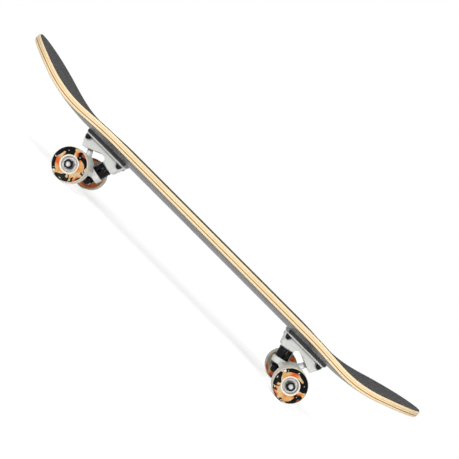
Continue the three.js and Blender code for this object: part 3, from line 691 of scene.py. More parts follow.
def printed_urethane():
    """Cream urethane with a printed ring on both faces, round the piece's Z."""
    scatter = {"Subsurface_Weight": 0.08, "Subsurface_Radius": (0.002, 0.0015, 0.001)}
    urethane = Finish("printed urethane", Specular_IOR_Level=0.06, Subsurface_Scale=1.0, **scatter)
    skin = urethane.use(SKIN, Fineness=520.0)
    urethane.begin(skin["Tone"], (233, 226, 212), (224, 215, 199))
    urethane.wear_and_shade(SCUFFS, (176, 166, 150), Amount=0.25)
    # painted shade: darker colour in the wheel's recesses and creases
    urethane.wear_and_shade(CREASE_SHADE, (112, 104, 92), Reach=0.0022, Amount=0.8)
    height = urethane.add("SeparateXYZ", {0: urethane.place})["Z"]
    printed = printed_share(urethane, height)
    urethane.lay(printed, wheel_print(urethane, height))
    rough = urethane.step_up(printed, 0, 1, 0.38, 0.26)
    return urethane.done(rough, skin["Height"], distance=0.00004, strength=0.4)


PALE_PLY = veneer("pale ply", (232, 216, 180), (216, 188, 139), 0.45)
TAN_PLY = veneer("tan ply", (222, 198, 154), (199, 162, 110), 0.6)
BROWN_PLY = veneer("brown ply", (166, 124, 68), (126, 82, 40), 0.7)
STAIN = stained_underside()
GRIP = grip_tape()
RUBBER = moulded_rubber()
CAST = cast_aluminium()
BLACK_STEEL = turned_steel("black steel", (8, 8, 9), (20, 20, 22), 0.28, 0.6)
BRIGHT_STEEL = turned_steel("bright steel", (160, 161, 162), (190, 191, 192), 0.28, 0.85)
SHIELD_STEEL = turned_steel("pressed shield", (178, 178, 175), (202, 202, 199), 0.36, 0.7)
BUSHING = black_urethane("bushing urethane", 0.14)
CUP = black_urethane("pivot cup urethane", 0.45)
NYLON = black_urethane("lock collar nylon", 0.4)
WHEEL = printed_urethane()
PLY_ORDER = (PALE_PLY, PALE_PLY, TAN_PLY, PALE_PLY, BROWN_PLY, PALE_PLY, PALE_PLY)


# Shapes, as a list of points and a list of faces

def spun(rows, sides=ROUND_SIDES):
    """A surface round Z through rows of (radius, height), from the bottom up the outside.
    A radius is a number or a function of the angle. Rows that start off the axis close up."""
    points = []
    rings = []
    for radius, height in rows:
        if radius == 0:
            rings.append([len(points)] * sides)
            points.append((0, 0, height))
            continue
        rings.append(list(range(len(points), len(points) + sides)))
        for step in range(sides):
            angle = math.tau * step / sides
            reach = radius(angle, height) if callable(radius) else radius
            points.append((reach * math.cos(angle), reach * math.sin(angle), height))
    if rows[0][0] != 0:
        rings.append(rings[0])
    faces = []
    for low, high in zip(rings, rings[1:]):
        for step in range(sides):
            after = (step + 1) % sides
            corners = dict.fromkeys((low[step], low[after], high[after], high[step]))
            faces.append(tuple(corners))
    return points, faces


def rounded(corners):
    """A profile's corners, each (radius, height, fillet), with the fillets drawn in.
    A profile that starts off the axis closes up, so its first corner is rounded too."""
    rows = []
    closed = corners[0][0] != 0
    count = len(corners)
    for n, (radius, height, fillet) in enumerate(corners):
        at = Vector((radius, height))
        if not fillet or (not closed and n in (0, count - 1)):
            rows.append((radius, height))
            continue
        before = Vector(corners[n - 1][:2]) - at
        after = Vector(corners[(n + 1) % count][:2]) - at
        turn = before.angle(after)
        room = min(before.length, after.length) / FILLET_LIMIT
        reach = min(fillet / math.tan(turn / 2), room)
        start = at + before.normalized() * reach
        end = at + after.normalized() * reach
        for step in range(ARC_STEPS + 1):
            share = step / ARC_STEPS
            rows.append(tuple(start.lerp(at, share).lerp(at.lerp(end, share), share)))
    return rows


def turned(corners, sides=ROUND_SIDES):
    return spun(rounded(corners), sides)


def plug(*rows, sides=ROUND_SIDES):
    """A stepped plug, closed across at its lowest and highest rows."""
    return spun([(0, rows[0][1]), *rows, (0, rows[-1][1])], sides)


def rod(radius, low, high, sides=ROUND_SIDES):
    return plug((radius, low), (radius, high), sides=sides)


def both_ways(rows):
    """A profile's upper half with its mirror image below."""
    return [(row[0], -row[1], *row[2:]) for row in reversed(rows)] + rows


def ball_rows(radius, turns):
    return [(radius * math.cos(turn), radius * math.sin(turn)) for turn in turns]


def hexagon(width, limit=math.inf):
    """The radius of a hexagon as a function of the angle, its corners cut off at limit."""
    def reach(angle, height):
        off_flat = (angle + math.pi / 6) % (math.pi / 3) - math.pi / 6
        return min(width / 2 / math.cos(off_flat), limit)
    return reach


def hex_side(width, low, high):
    """Rows up the outside of a hexagon, chamfered at both ends."""
    flat = width / 2
    corner = flat / math.cos(math.pi / 6)
    start = flat * HEX_CHAMFER
    drop = (corner - start) * math.tan(HEX_CHAMFER_ANGLE)
    rows = []
    for step in range(CHAMFER_STEPS + 1):
        share = step / CHAMFER_STEPS
        rows.append((hexagon(width, start + (corner - start) * share), low + drop * share))
    return rows + [(radius, low + high - height) for radius, height in reversed(rows)]


def threaded(radius, low, high, pitch):
    """Rows up a threaded length."""
    def reach(angle, height):
        turn = (height / pitch - angle / math.tau) % 1
        return radius - pitch * THREAD_DEPTH * abs(2 * turn - 1)
    count = round((high - low) / pitch * THREAD_STEPS)
    return [(reach, low + (high - low) * step / count) for step in range(count + 1)]


def threaded_end(radius, low, length, pitch, tip):
    """Rows up the end of a bolt: its narrower tip, its thread and the start of the plain shank."""
    share, lead, runout = tip
    thread = threaded(radius, low + lead, low + length, pitch)
    return [(radius * share, low), *thread, (radius, low + length + runout)]


def curve(start, leaving, arriving, end):
    """Points along a curve that leaves its start and reaches its end towards two handles."""
    points = []
    for step in range(CURVE_STEPS + 1):
        t = step / CURVE_STEPS
        near = start * (1 - t) ** 3 + leaving * (3 * t * (1 - t) ** 2)
        far = arriving * (3 * t * t * (1 - t)) + end * t**3
        points.append(tuple(near + far))
    return points


def shift(x, y, z):
    return Matrix.Translation((x, y, z))


def twist(angle, axis):
    return Matrix.Rotation(angle, 4, axis)


def moved(shape, matrix):
    points, faces = shape
    return [tuple(matrix @ Vector(point)) for point in points], faces


def together(*shapes):
    """Several shapes in one list of points and faces, not welded."""
    points = []
    faces = []
    for more_points, more_faces in shapes:
        start = len(points)
        points.extend(more_points)
        faces.extend(tuple(start + corner for corner in face) for face in more_faces)
    return points, faces


def hull(points):
    """The convex shape round the given points."""
    work = bmesh.new()
    for point in points:
        work.verts.new(point)
    made = bmesh.ops.convex_hull(work, input=work.verts)
    inner = [part for part in made["geom_interior"] if isinstance(part, bmesh.types.BMVert)]
    bmesh.ops.delete(work, geom=inner, context="VERTS")
    bmesh.ops.recalc_face_normals(work, faces=work.faces)
    work.verts.index_update()
    shape = [tuple(vert.co) for vert in work.verts], [
        tuple(vert.index for vert in face.verts) for face in work.faces
    ]
    work.free()
    return shape


def smooth(mesh):
    mesh.shade_smooth()
    mesh.set_sharp_from_angle(angle=SHARP_ANGLE)


def solid(name, shape, *finishes):
    """An object made of a shape, with its finishes in its material slots."""
    points, faces = shape
    mesh = bpy.data.meshes.new(name)
    mesh.from_pydata(points, [], faces)
    for finish in finishes:
        mesh.materials.append(finish)
    smooth(mesh)
    made = bpy.data.objects.new(name, mesh)
    bpy.context.scene.collection.objects.link(made)
    return made


def settle(piece):
    """Makes a piece's modifiers part of its mesh."""
    graph = bpy.context.evaluated_depsgraph_get()
    mesh = bpy.data.meshes.new_from_object(piece.evaluated_get(graph))
    piece.modifiers.clear()
    piece.data = mesh
    smooth(mesh)
    return piece


def carve(piece, *cutters):
    """Takes each cutting shape away from a piece, in the piece's own coordinates."""
    tools = []
    for cutter in cutters:
        tool = solid("cutter", cutter)
        tool.matrix_world = piece.matrix_world
        change = piece.modifiers.new("cut", "BOOLEAN")
        change.operation = "DIFFERENCE"
        change.solver = "EXACT"
        change.object = tool
        tools.append(tool)
    bpy.context.view_layer.update()
    settle(piece)
    for tool in tools:
        bpy.data.objects.remove(tool)
    return piece


def cast(name, shapes, voxel, softening):
    """One casting grown from overlapping shapes, its corners and joins softened."""
    made = solid(name, together(*shapes), CAST)
    grow = made.modifiers.new("grow", "REMESH")
    grow.mode = "VOXEL"
    grow.voxel_size = voxel
    soften = made.modifiers.new("soften", "SMOOTH")
    soften.factor = 0.5
    soften.iterations = softening
    settle(made)
    return made


def fit(piece, node, place=Matrix()):
    """Puts a finished piece where its node is and lets it stand for that node."""
    piece.name = f"{node}_finished"
    piece.matrix_world = place
    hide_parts(node)
    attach(piece, BODY_OF[node])
    return piece


def copy_of(piece):
    """Another object that shows the same mesh."""
    made = piece.copy()
    bpy.context.scene.collection.objects.link(made)
    return made


# The deck's surface: a centre line that rises in the kicks, and rails that stand above it

def smoothstep(value, low, high):
    share = min(max((value - low) / (high - low), 0), 1)
    return share * share * (3 - 2 * share)


def kick_rise(run, radius, angle):
    if run <= 0:
        return 0
    bend = min(run, radius * math.sin(angle))
    climb = max(run - bend, 0) * math.tan(angle)
    return radius - math.sqrt(radius**2 - bend**2) + climb


def concave_at(x):
    to_nose = smoothstep(NOSE_KICK + FADE_INSIDE - x, 0, FADE_LENGTH)
    to_tail = smoothstep(x - TAIL_KICK + FADE_INSIDE, 0, FADE_LENGTH)
    lost = (CONCAVE_DEPTH - NOSE_CONCAVE) * to_nose + (CONCAVE_DEPTH - TAIL_CONCAVE) * to_tail
    return CONCAVE_DEPTH - lost


def deck_top_at(x, y):
    nose = kick_rise(NOSE_KICK - x, NOSE_KICK_RADIUS, NOSE_KICK_ANGLE)
    tail = kick_rise(x - TAIL_KICK, TAIL_KICK_RADIUS, TAIL_KICK_ANGLE)
    return DECK_TOP + nose + tail + concave_at(x) * (y / HALF_WIDTH) ** 2


def tip_curve(taper, roundness):
    """(distance from the tip, share of the half width) round an end, from the tip inwards."""
    power = 2 / roundness
    turns = [math.pi / 2 * step / TIP_STEPS for step in range(TIP_STEPS)]
    return [(taper * (1 - math.cos(turn) ** power), math.sin(turn) ** power) for turn in turns]


def outline(inset):
    """(x, half width) along the deck's outline drawn in by inset, from tip to tip."""
    half = HALF_WIDTH - inset
    nose_start = NOSE_TIP + inset
    tail_start = TAIL_TIP - inset
    nose = [(nose_start + run, half * share) for run, share in tip_curve(NOSE_TAPER, NOSE_ROUNDNESS)]
    tail = [(tail_start - run, half * share) for run, share in tip_curve(TAIL_TAPER, TAIL_ROUNDNESS)]
    first = nose_start + NOSE_TAPER
    last = tail_start - TAIL_TAPER
    rails = [(first + (last - first) * step / RAIL_STEPS, half) for step in range(RAIL_STEPS + 1)]
    return nose + rails + tail[::-1]


def layered_sheet(name, layers, finishes, finish_of_band):
    """A closed sheet that follows the deck, through layers of (lift above its top, inset).
    Band 0 is the top, and each further band lies below one more layer."""
    outlines = [outline(inset) for lift, inset in layers]
    count = len(outlines[0])
    points = []
    faces = []
    indices = []

    def row(layer, share):
        start = len(points)
        for x, half in outlines[layer]:
            y = half * share
            points.append((x, y, deck_top_at(x, y) + layers[layer][0]))
        return range(start, start + count)

    def stitch(rows, band):
        for near, far in zip(rows, rows[1:]):
            for n in range(count - 1):
                faces.append((near[n], near[n + 1], far[n + 1], far[n]))
                indices.append(finish_of_band(band))

    across = [2 * step / ACROSS_STEPS - 1 for step in range(ACROSS_STEPS + 1)]
    last = len(layers) - 1
    stitch([row(0, share) for share in across], 0)
    stitch([row(last, -share) for share in across], last + 1)
    for band in range(last):
        stitch([row(band, 1), row(band + 1, 1)], band + 1)
        stitch([row(band + 1, -1), row(band, -1)], band + 1)
    made = solid(name, (points, faces), *finishes)
    made.data.polygons.foreach_set("material_index", indices)
    work = bmesh.new()
    work.from_mesh(made.data)
    bmesh.ops.remove_doubles(work, verts=work.verts, dist=WELD_DISTANCE)
    depths = work.loops.layers.uv.new(DEPTH_MAP)
    for face in work.faces:
        for loop in face.loops:
            x, y, z = loop.vert.co
            loop[depths].uv = (x, deck_top_at(x, y) - z)
    work.to_mesh(made.data)
    work.free()
    smooth(made.data)
    return made


TRUCK_MIDDLES = {prefix: centre_of(f"{prefix}_riser_pad").x for prefix in ("nose", "tail")}


def bolt_places(middle):
    """(name part, x, y) of a truck's four bolts."""
    places = []
    for along in (-1, 1):
        for across, side in ((-1, "left"), (1, "right")):
            x = middle + along * BOLT_SPACING_LONG / 2
            y = across * BOLT_SPACING_WIDE / 2
            reach = "outer" if along * middle > 0 else "inner"
            places.append((f"{reach}_{side}", x, y))
    return places


def at_bolts(shape, middles, height=lambda x, y: 0):
    """A shape repeated at the bolts of the trucks with the given middles."""
    spots = [(x, y) for middle in middles for part, x, y in bolt_places(middle)]
    return together(*(moved(shape, shift(x, y, height(x, y))) for x, y in spots))


def rim_inset(depth):
    """How far the rounded edge draws in at a depth below the deck's top."""
    fall = max(EDGE_ROUND - min(depth, DECK_THICKNESS - depth), 0)
    return EDGE_ROUND - math.sqrt(EDGE_ROUND**2 - fall**2)


def make_deck():
    ply = DECK_THICKNESS / PLIES
    upper = {round(depth, 6) for depth in EDGE_DEPTHS}
    lower = {round(DECK_THICKNESS - depth, 6) for depth in (*EDGE_DEPTHS, DECK_THICKNESS - STAIN_DEPTH)}
    seams = {round(ply * n, 6) for n in range(PLIES + 1)}
    depths = sorted(upper | lower | seams)
    layers = [(-depth, rim_inset(depth)) for depth in depths]
    finishes = (PALE_PLY, TAN_PLY, BROWN_PLY, STAIN)

    def finish_of(band):
        if band == 0:
            return 0
        if band == len(depths) or depths[band] > STAIN_DEPTH:
            return finishes.index(STAIN)
        middle = (depths[band - 1] + depths[band]) / 2
        return finishes.index(PLY_ORDER[int(middle / ply)])

    deck = layered_sheet("deck", layers, finishes, finish_of)
    hole = BOLT_DIAMETER / 2 + BOLT_CLEARANCE
    mouth = BOLT_HEAD_DIAMETER / 2 + BOLT_CLEARANCE
    cone = (BOLT_HEAD_DIAMETER - BOLT_DIAMETER) / 2
    lowest = (hole, -DECK_THICKNESS - OVERRUN)
    drill = plug(lowest, (hole, -cone), (mouth, 0), (mouth, OVERRUN), sides=SMALL_SIDES)
    carve(deck, at_bolts(drill, TRUCK_MIDDLES.values(), deck_top_at))
    fit(deck, "deck")


def make_grip():
    low = PRESS_GAP
    high = PRESS_GAP + GRIP_THICKNESS
    layers = [(high, EDGE_ROUND + GRIP_EDGE), (high - GRIP_EDGE, EDGE_ROUND), (low, EDGE_ROUND)]
    grip = layered_sheet("grip", layers, (GRIP,), lambda band: 0)
    punch = rod(BOLT_HEAD_DIAMETER / 2 + BOLT_CLEARANCE, -OVERRUN, OVERRUN, SMALL_SIDES)
    carve(grip, at_bolts(punch, TRUCK_MIDDLES.values(), deck_top_at))
    fit(grip, "grip_tape")


# Trucks, each drawn with the top of its baseplate at Z = 0 and its axle end towards +X

def truck_place(prefix):
    turn = math.pi if prefix == "nose" else 0
    return shift(TRUCK_MIDDLES[prefix], 0, PLATE_TOP) @ twist(turn, "Z")


def on_kingpin(distance=0):
    """From the truck's frame to a distance down the kingpin's axis from its seat."""
    seat = shift(KINGPIN_ALONG, 0, -KINGPIN_SEAT_DROP)
    return seat @ twist(-KINGPIN_TILT, "Y") @ shift(0, 0, -distance)


def on_pivot():
    return shift(PIVOT_ALONG, 0, -PIVOT_DROP) @ twist(PIVOT_TILT, "Y")


def on_axle():
    """The axle's middle, with the piece's own Z along the truck's -Y."""
    return shift(AXLE_ALONG, 0, -TRUCK_HEIGHT) @ twist(math.pi / 2, "X")


# Distances down the kingpin's axis from its seat
UPPER_WASHER_TOP = SEAT_GAP
UPPER_BUSHING_TOP = UPPER_WASHER_TOP + WASHER_THICKNESS + SEAT_GAP
RING_TOP = UPPER_BUSHING_TOP + UPPER_BUSHING_LENGTH + SEAT_GAP - UPPER_SEAT_DEPTH
RING_BOTTOM = RING_TOP + RING_HEIGHT
LOWER_BUSHING_TOP = RING_BOTTOM - LOWER_SEAT_DEPTH + SEAT_GAP
LOWER_WASHER_TOP = LOWER_BUSHING_TOP + LOWER_BUSHING_LENGTH + SEAT_GAP
KINGPIN_NUT_TOP = LOWER_WASHER_TOP + WASHER_THICKNESS + SEAT_GAP
KINGPIN_BOTTOM = KINGPIN_NUT_TOP + KINGPIN_NUT_HEIGHT + KINGPIN_END
BUSHING_BORE = KINGPIN_DIAMETER + 2 * KINGPIN_CLEARANCE


def plate_outline(length, width, corner):
    """A rectangle with rounded corners, anticlockwise."""
    points = []
    steps = 4 * ARC_STEPS
    for quarter, (right, far) in enumerate(((1, 1), (-1, 1), (-1, -1), (1, -1))):
        for step in range(steps + 1):
            turn = math.pi / 2 * (quarter + step / steps)
            x = right * (length / 2 - corner) + corner * math.cos(turn)
            y = far * (width / 2 - corner) + corner * math.sin(turn)
            points.append((x, y))
    return points


def loft(first, second):
    """A closed shape between two outlines that are anticlockwise seen from the second's side."""
    count = len(first)
    faces = [tuple(reversed(range(count))), tuple(range(count, 2 * count))]
    for n in range(count):
        after = (n + 1) % count
        faces.append((n, after, count + after, count + n))
    return first + second, faces


def prism(outline_points, low, high):
    """An outline in X and Y drawn up from low to high."""
    return loft(*([(x, y, z) for x, y in outline_points] for z in (low, high)))


def bolt_drills():
    return at_bolts(rod(BOLT_DIAMETER / 2 + BOLT_CLEARANCE, -OVERRUN, OVERRUN, SMALL_SIDES), (0,))


def body_outline():
    """Side view of the cast body under the plate, in X and Z."""
    slope = math.tan(KINGPIN_TILT)
    half = SEAT_BOSS_DIAMETER / 2 * math.cos(KINGPIN_TILT)

    def seat_line(x):
        return SEAT_BOSS_HEIGHT - KINGPIN_SEAT_DROP + (x - KINGPIN_ALONG) * slope

    inner_foot = KINGPIN_ALONG - half - SEAT_BOSS_HEIGHT
    inner_top = inner_foot + seat_line(inner_foot) * math.tan(PLATE_END_SLOPE)
    seat_end = KINGPIN_ALONG + half * SEAT_BOSS_FREE
    mouth_x = PIVOT_ALONG - CUP_DEPTH * math.sin(PIVOT_TILT)
    mouth_z = -PIVOT_DROP - CUP_DEPTH * math.cos(PIVOT_TILT)

    def boss_face(run):
        return mouth_x + run * math.cos(PIVOT_TILT), mouth_z - run * math.sin(PIVOT_TILT)

    foot = Vector((seat_end, seat_line(seat_end)))
    boss = Vector(boss_face(-BOSS_INNER))
    arch = curve(foot, foot + ARCH_SEAT_HANDLE, boss + ARCH_BOSS_HANDLE, boss)
    heel = Vector(boss_face(BOSS_OUTER))
    up_slope = Vector((math.sin(PLATE_OUTER_SLOPE), math.cos(PLATE_OUTER_SLOPE)))
    heel_start = Vector(boss_face(BOSS_OUTER - HEEL_ROUND))
    heel_end = heel + up_slope * HEEL_ROUND
    outer_end = PLATE_LENGTH / 2 - PLATE_OUTER_LIP
    outer_foot = heel.y + (outer_end - heel.x) / math.tan(PLATE_OUTER_SLOPE)
    in_plate = -PLATE_THICKNESS / 2
    start = [(inner_top, in_plate), (inner_foot, seat_line(inner_foot))]
    end = [(outer_end, outer_foot), (outer_end, in_plate)]
    return start + arch + curve(heel_start, heel, heel, heel_end) + end


def cast_body(side_view):
    """A side view drawn out along Y, its sides drawing in below the plate by the draft."""
    half = PLATE_ROOT_WIDTH / 2
    slope = math.tan(PLATE_DRAFT)
    return loft(*([(x, side * (half + z * slope), z) for x, z in side_view] for side in (1, -1)))


def make_baseplate():
    plate = prism(plate_outline(PLATE_LENGTH, PLATE_WIDTH, PLATE_CORNER), -PLATE_THICKNESS, 0)
    boss = moved(rod(SEAT_BOSS_DIAMETER / 2, 0, KINGPIN_HEAD_SEAT), on_kingpin())
    made = cast("baseplate", [plate, cast_body(body_outline()), boss], PLATE_VOXEL, PLATE_SOFTENING)
    bore = KINGPIN_DIAMETER / 2 + KINGPIN_CLEARANCE
    pocket = KINGPIN_POCKET_DIAMETER / 2
    seat = KINGPIN_HEAD_SEAT
    pin_hole = plug((bore, -OVERRUN), (bore, seat), (pocket, seat), (pocket, seat + OVERRUN))
    cup_top = PIVOT_BALL_DIAMETER / 2 + CUP_CROWN + 2 * SEAT_GAP
    cup_hole = rod(CUP_DIAMETER / 2 + SEAT_GAP, -CUP_DEPTH - OVERRUN, cup_top)
    return carve(made, moved(pin_hole, on_kingpin()), moved(cup_hole, on_pivot()), bolt_drills())


def hanger_arms():
    """The sleeve round the axle, thicker under the wings."""
    half = HANGER_WIDTH / 2
    end = HANGER_END_DIAMETER / 2
    upper_half = [
        (HANGER_SHOULDER_DIAMETER / 2, WING_REACH, ARM_BLEND),
        (end, half - HANGER_SHOULDER_LENGTH, ARM_BLEND),
        (end, half, ARM_END_FILLET),
        (0, half, 0),
    ]
    return turned(both_ways(upper_half))


def hanger_ring():
    rims = ((RING_BOTTOM_DIAMETER / 2, -RING_BOTTOM), (RING_TOP_DIAMETER / 2, -RING_TOP))
    corners = [(radius, height, RING_FILLET) for radius, height in rims]
    return turned([(0, -RING_BOTTOM, 0), *corners, (0, -RING_TOP, 0)])


def pivot_stem():
    ball = PIVOT_BALL_DIAMETER / 2
    foot = [(0, -STEM_LENGTH), (STEM_FOOT_DIAMETER / 2, -STEM_LENGTH), (STEM_DIAMETER / 2, -CUP_DEPTH)]
    return spun(foot + ball_rows(ball, BALL_TURNS) + [(0, ball)])


def hanger_web():
    """The web from the stem's foot over the ring to the wings."""
    middle = on_kingpin((RING_TOP + RING_BOTTOM) / 2).translation
    foot = on_pivot() @ Vector((0, 0, -STEM_LENGTH))
    reach = STEM_FOOT_DIAMETER / 2
    level = reach * math.cos(PIVOT_TILT)
    wing_top = WING_THICKNESS / 2 - TRUCK_HEIGHT
    forward = HANGER_SHOULDER_DIAMETER / 4
    corners = []
    for side in (-1, 1):
        near = side * reach / 2
        web = side * WEB_THICKNESS / 2
        wing = side * WING_REACH
        corners.append((foot.x + level, near, foot.z))
        corners.append((foot.x - level, near, foot.z + reach * math.sin(PIVOT_TILT)))
        corners.append((middle.x, web, middle.z + RING_HEIGHT / 2 - UPPER_SEAT_DEPTH))
        corners.append((middle.x, web, middle.z - RING_HEIGHT / 2))
        corners.append((AXLE_ALONG + forward, wing, wing_top))
        corners.append((AXLE_ALONG - forward, wing, wing_top))
        corners.append((AXLE_ALONG, wing, wing_top - WING_THICKNESS))
    return hull(corners)


def ring_bores():
    """Room for the nut, the seats of both bushings, the hole between them and room above the ring."""
    nut = NUT_ROOM_DIAMETER / 2
    lower = LOWER_BUSHING_DIAMETER / 2 + SEAT_GAP
    hole = RING_HOLE_DIAMETER / 2
    upper = UPPER_BUSHING_SEAT_DIAMETER / 2 + SEAT_GAP
    above = RING_TOP_DIAMETER / 2 + SEAT_GAP
    lower_floor = -RING_BOTTOM + LOWER_SEAT_DEPTH
    upper_floor = -RING_TOP - UPPER_SEAT_DEPTH
    return plug(
        (nut, -RING_BOTTOM - 2 * OVERRUN), (nut, -RING_BOTTOM),
        (lower, -RING_BOTTOM), (lower, lower_floor),
        (hole, lower_floor), (hole, upper_floor),
        (upper, upper_floor), (upper, -RING_TOP),
        (above, -RING_TOP), (above, -RING_TOP + OVERRUN),
    )


def make_hanger():
    arms = moved(hanger_arms(), on_axle())
    ring = moved(hanger_ring(), on_kingpin())
    stem = moved(pivot_stem(), on_pivot())
    made = cast("hanger", [arms, ring, stem, hanger_web()], HANGER_VOXEL, HANGER_SOFTENING)
    end = HANGER_WIDTH / 2 + OVERRUN
    bore = rod(AXLE_DIAMETER / 2 + AXLE_CLEARANCE, -end, end, SMALL_SIDES)
    return carve(made, moved(ring_bores(), on_kingpin()), moved(bore, on_axle()))


def make_riser():
    """A rubber pad whose top is dished to the deck; drawn in the tail truck's frame."""
    width = PLATE_WIDTH + 2 * RISER_OVERHANG
    rim = plate_outline(PLATE_LENGTH + 2 * RISER_OVERHANG, width, PLATE_CORNER)
    high = 1  # well above the deck, to tell the roof's points by
    pad = solid("riser", prism(rim, PRESS_GAP, high), RUBBER)
    work = bmesh.new()
    work.from_mesh(pad.data)
    for n in range(1, RISER_CUTS):
        y = (n / RISER_CUTS - 0.5) * width
        geometry = work.verts[:] + work.edges[:] + work.faces[:]
        bmesh.ops.bisect_plane(work, geom=geometry, plane_co=(0, y, 0), plane_no=(0, 1, 0))
    for vert in work.verts:
        if vert.co.z > high / 2:
            under_deck = deck_top_at(TRUCK_MIDDLES["tail"] + vert.co.x, vert.co.y) - DECK_THICKNESS
            vert.co.z = under_deck - RISER_CLEAR - PLATE_TOP
    edges = [edge for edge in work.edges if len(edge.link_faces) == 2]
    rims = [edge for edge in edges if edge.calc_face_angle(0) > RISER_EDGE_ANGLE]
    bmesh.ops.bevel(work, geom=rims, offset=RISER_FILLET, segments=3, affect="EDGES")
    work.to_mesh(pad.data)
    work.free()
    smooth(pad.data)
    return carve(pad, bolt_drills())


def make_pivot_cup():
    inside, outside = CUP_MOUTH_FILLETS
    outer = CUP_DIAMETER / 2
    ball = PIVOT_BALL_DIAMETER / 2 + SEAT_GAP
    crown = ball + CUP_CROWN
    bowl = ball_rows(ball, (CUP_FIRST_TURN, *BALL_TURNS[::-1]))
    wall = [(ball, 0, 0), (CUP_MOUTH_DIAMETER / 2, -CUP_DEPTH, inside), (outer, -CUP_DEPTH, outside)]
    wall += [(outer, crown, CUP_CROWN_FILLET), (0, crown, 0)]
    return solid("pivot cup", spun([(0, ball)] + bowl + rounded(wall)[1:], SMALL_SIDES), CUP)


def make_kingpin():
    shank = KINGPIN_DIAMETER / 2
    under_head = KINGPIN_HEAD_SEAT + SEAT_GAP
    head_top = under_head + KINGPIN_HEAD_HEIGHT
    rows = threaded_end(shank, -KINGPIN_BOTTOM, KINGPIN_THREAD, KINGPIN_PITCH, KINGPIN_TIP)
    rows += [(shank, under_head)] + hex_side(KINGPIN_HEAD_WIDTH, under_head, head_top)
    return solid("kingpin", plug(*rows, sides=NUT_SIDES), BLACK_STEEL)


def lock_nut(name, width, height, hex_height, bore):
    """A hexagon nut with its top at Z = 0 and a rounded nylon collar underneath."""
    flat = width / 2
    hexagonal = spun([(bore, -hex_height)] + hex_side(width, -hex_height, 0) + [(bore, 0)], NUT_SIDES)
    seat = -hex_height - PRESS_GAP
    at_bore, at_rim = COLLAR_FILLETS
    foot = [(bore, -height + COLLAR_LIP, at_bore), (flat * COLLAR_FOOT, -height, at_rim)]
    collar = turned(foot + [(flat * COLLAR_SEAT, seat, 0), (bore, seat, 0)], NUT_SIDES)
    made = solid(name, together(hexagonal, collar), BLACK_STEEL, NYLON)
    first = len(hexagonal[1])
    for n, face in enumerate(made.data.polygons):
        face.material_index = int(n >= first)
    return made


def cup_washer(name, diameter, lip):
    """A cupped washer, its flat face up at Z = 0 and its lip down around the bushing."""
    rim = diameter / 2
    bore = BUSHING_BORE / 2
    inner = rim - WASHER_THICKNESS
    foot = -WASHER_THICKNESS - lip
    lower, upper = WASHER_BORE_FILLETS
    corners = [
        (bore, -WASHER_THICKNESS, lower),
        (inner, -WASHER_THICKNESS, WASHER_CUP_FILLET),
        (inner, foot, WASHER_LIP_FILLET),
        (rim, foot, WASHER_LIP_FILLET),
        (rim, 0, WASHER_SHOULDER_FILLET),
        (bore, 0, upper),
    ]
    return solid(name, turned(corners), BLACK_STEEL)


def board_side_bushing():
    bore = BUSHING_BORE / 2
    seat = UPPER_BUSHING_SEAT_DIAMETER / 2
    fat = UPPER_BUSHING_DIAMETER / 2
    top = UPPER_BUSHING_TOP_DIAMETER / 2
    lip = -UPPER_BUSHING_LENGTH + UPPER_SEAT_DEPTH
    belly = []
    for step in range(BELLY_STEPS + 1):
        share = step / BELLY_STEPS
        swell = math.sin(math.pi * (BELLY_START + BELLY_SPAN * share)) ** BELLY_FULLNESS
        side = seat + (top - seat) * share
        belly.append((side + (fat - side) * swell, lip * (BELLY_FOOT - BELLY_LENGTH * share)))
    end = -UPPER_BUSHING_LENGTH
    chamfer = BUSHING_FOOT_CHAMFER
    edge = BUSHING_TOP_EDGE
    rows = [(bore, end), (seat - chamfer, end), (seat, end + chamfer), (seat, lip)] + belly
    return spun(rows + [(top - edge, -edge), (top - BUSHING_TOP_CHAMFER, 0), (bore, 0)])


def road_side_bushing():
    bore = BUSHING_BORE / 2
    side = LOWER_BUSHING_DIAMETER / 2
    end = -LOWER_BUSHING_LENGTH
    corners = [(bore, end, BUSHING_BORE_FILLET), (LOWER_BUSHING_END_DIAMETER / 2, end, BUSHING_FILLET)]
    corners += [(side, -LOWER_SEAT_DEPTH * LOWER_SKIRT, BUSHING_FILLET), (side, 0, BUSHING_SEAT_FILLET)]
    return turned(corners + [(bore, 0, BUSHING_BORE_FILLET)])


def make_axle():
    radius = AXLE_DIAMETER / 2
    low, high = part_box("tail_axle")
    half = (high.y - low.y) / 2
    thread_end = half - AXLE_CHAMFER
    thread_start = thread_end - (half - HANGER_WIDTH / 2 - AXLE_PLAIN)
    rows = [(radius, thread_start - AXLE_RUNOUT)]
    rows += threaded(radius, thread_start, thread_end, AXLE_PITCH)
    rows += [(radius - AXLE_CHAMFER, half), (0, half)]
    return solid("axle", spun(both_ways(rows), SMALL_SIDES), BRIGHT_STEEL)


def wheel_profile():
    """Half of the wheel's profile, from the tread round the face to the bearing's seat."""
    face = (WHEEL_FACE_RADIUS, WHEEL_WIDTH / 2)
    tread_end = Vector((WHEEL_RADIUS, TREAD_WIDTH / 2))
    leaving = Vector((WHEEL_RADIUS, SHOULDER_RISE))
    side = curve(tread_end, leaving, Vector(SHOULDER_TURN), Vector(face))
    seat = BEARING_DIAMETER / 2 + PRESS_GAP
    core = [(0, WHEEL_WIDTH / 2, 0), (*face, 0), *WHEEL_RECESS]  # on the axis first, so left open
    core += [(seat, SEAT_MOUTH, SEAT_MOUTH_FILLET), (seat, SEAT_FLOOR, 0)]
    core += [(WHEEL_CORE_RADIUS, SEAT_FLOOR, WHEEL_CORE_FILLET), (WHEEL_CORE_RADIUS, 0, 0)]
    return side + rounded(core)[2:-1]


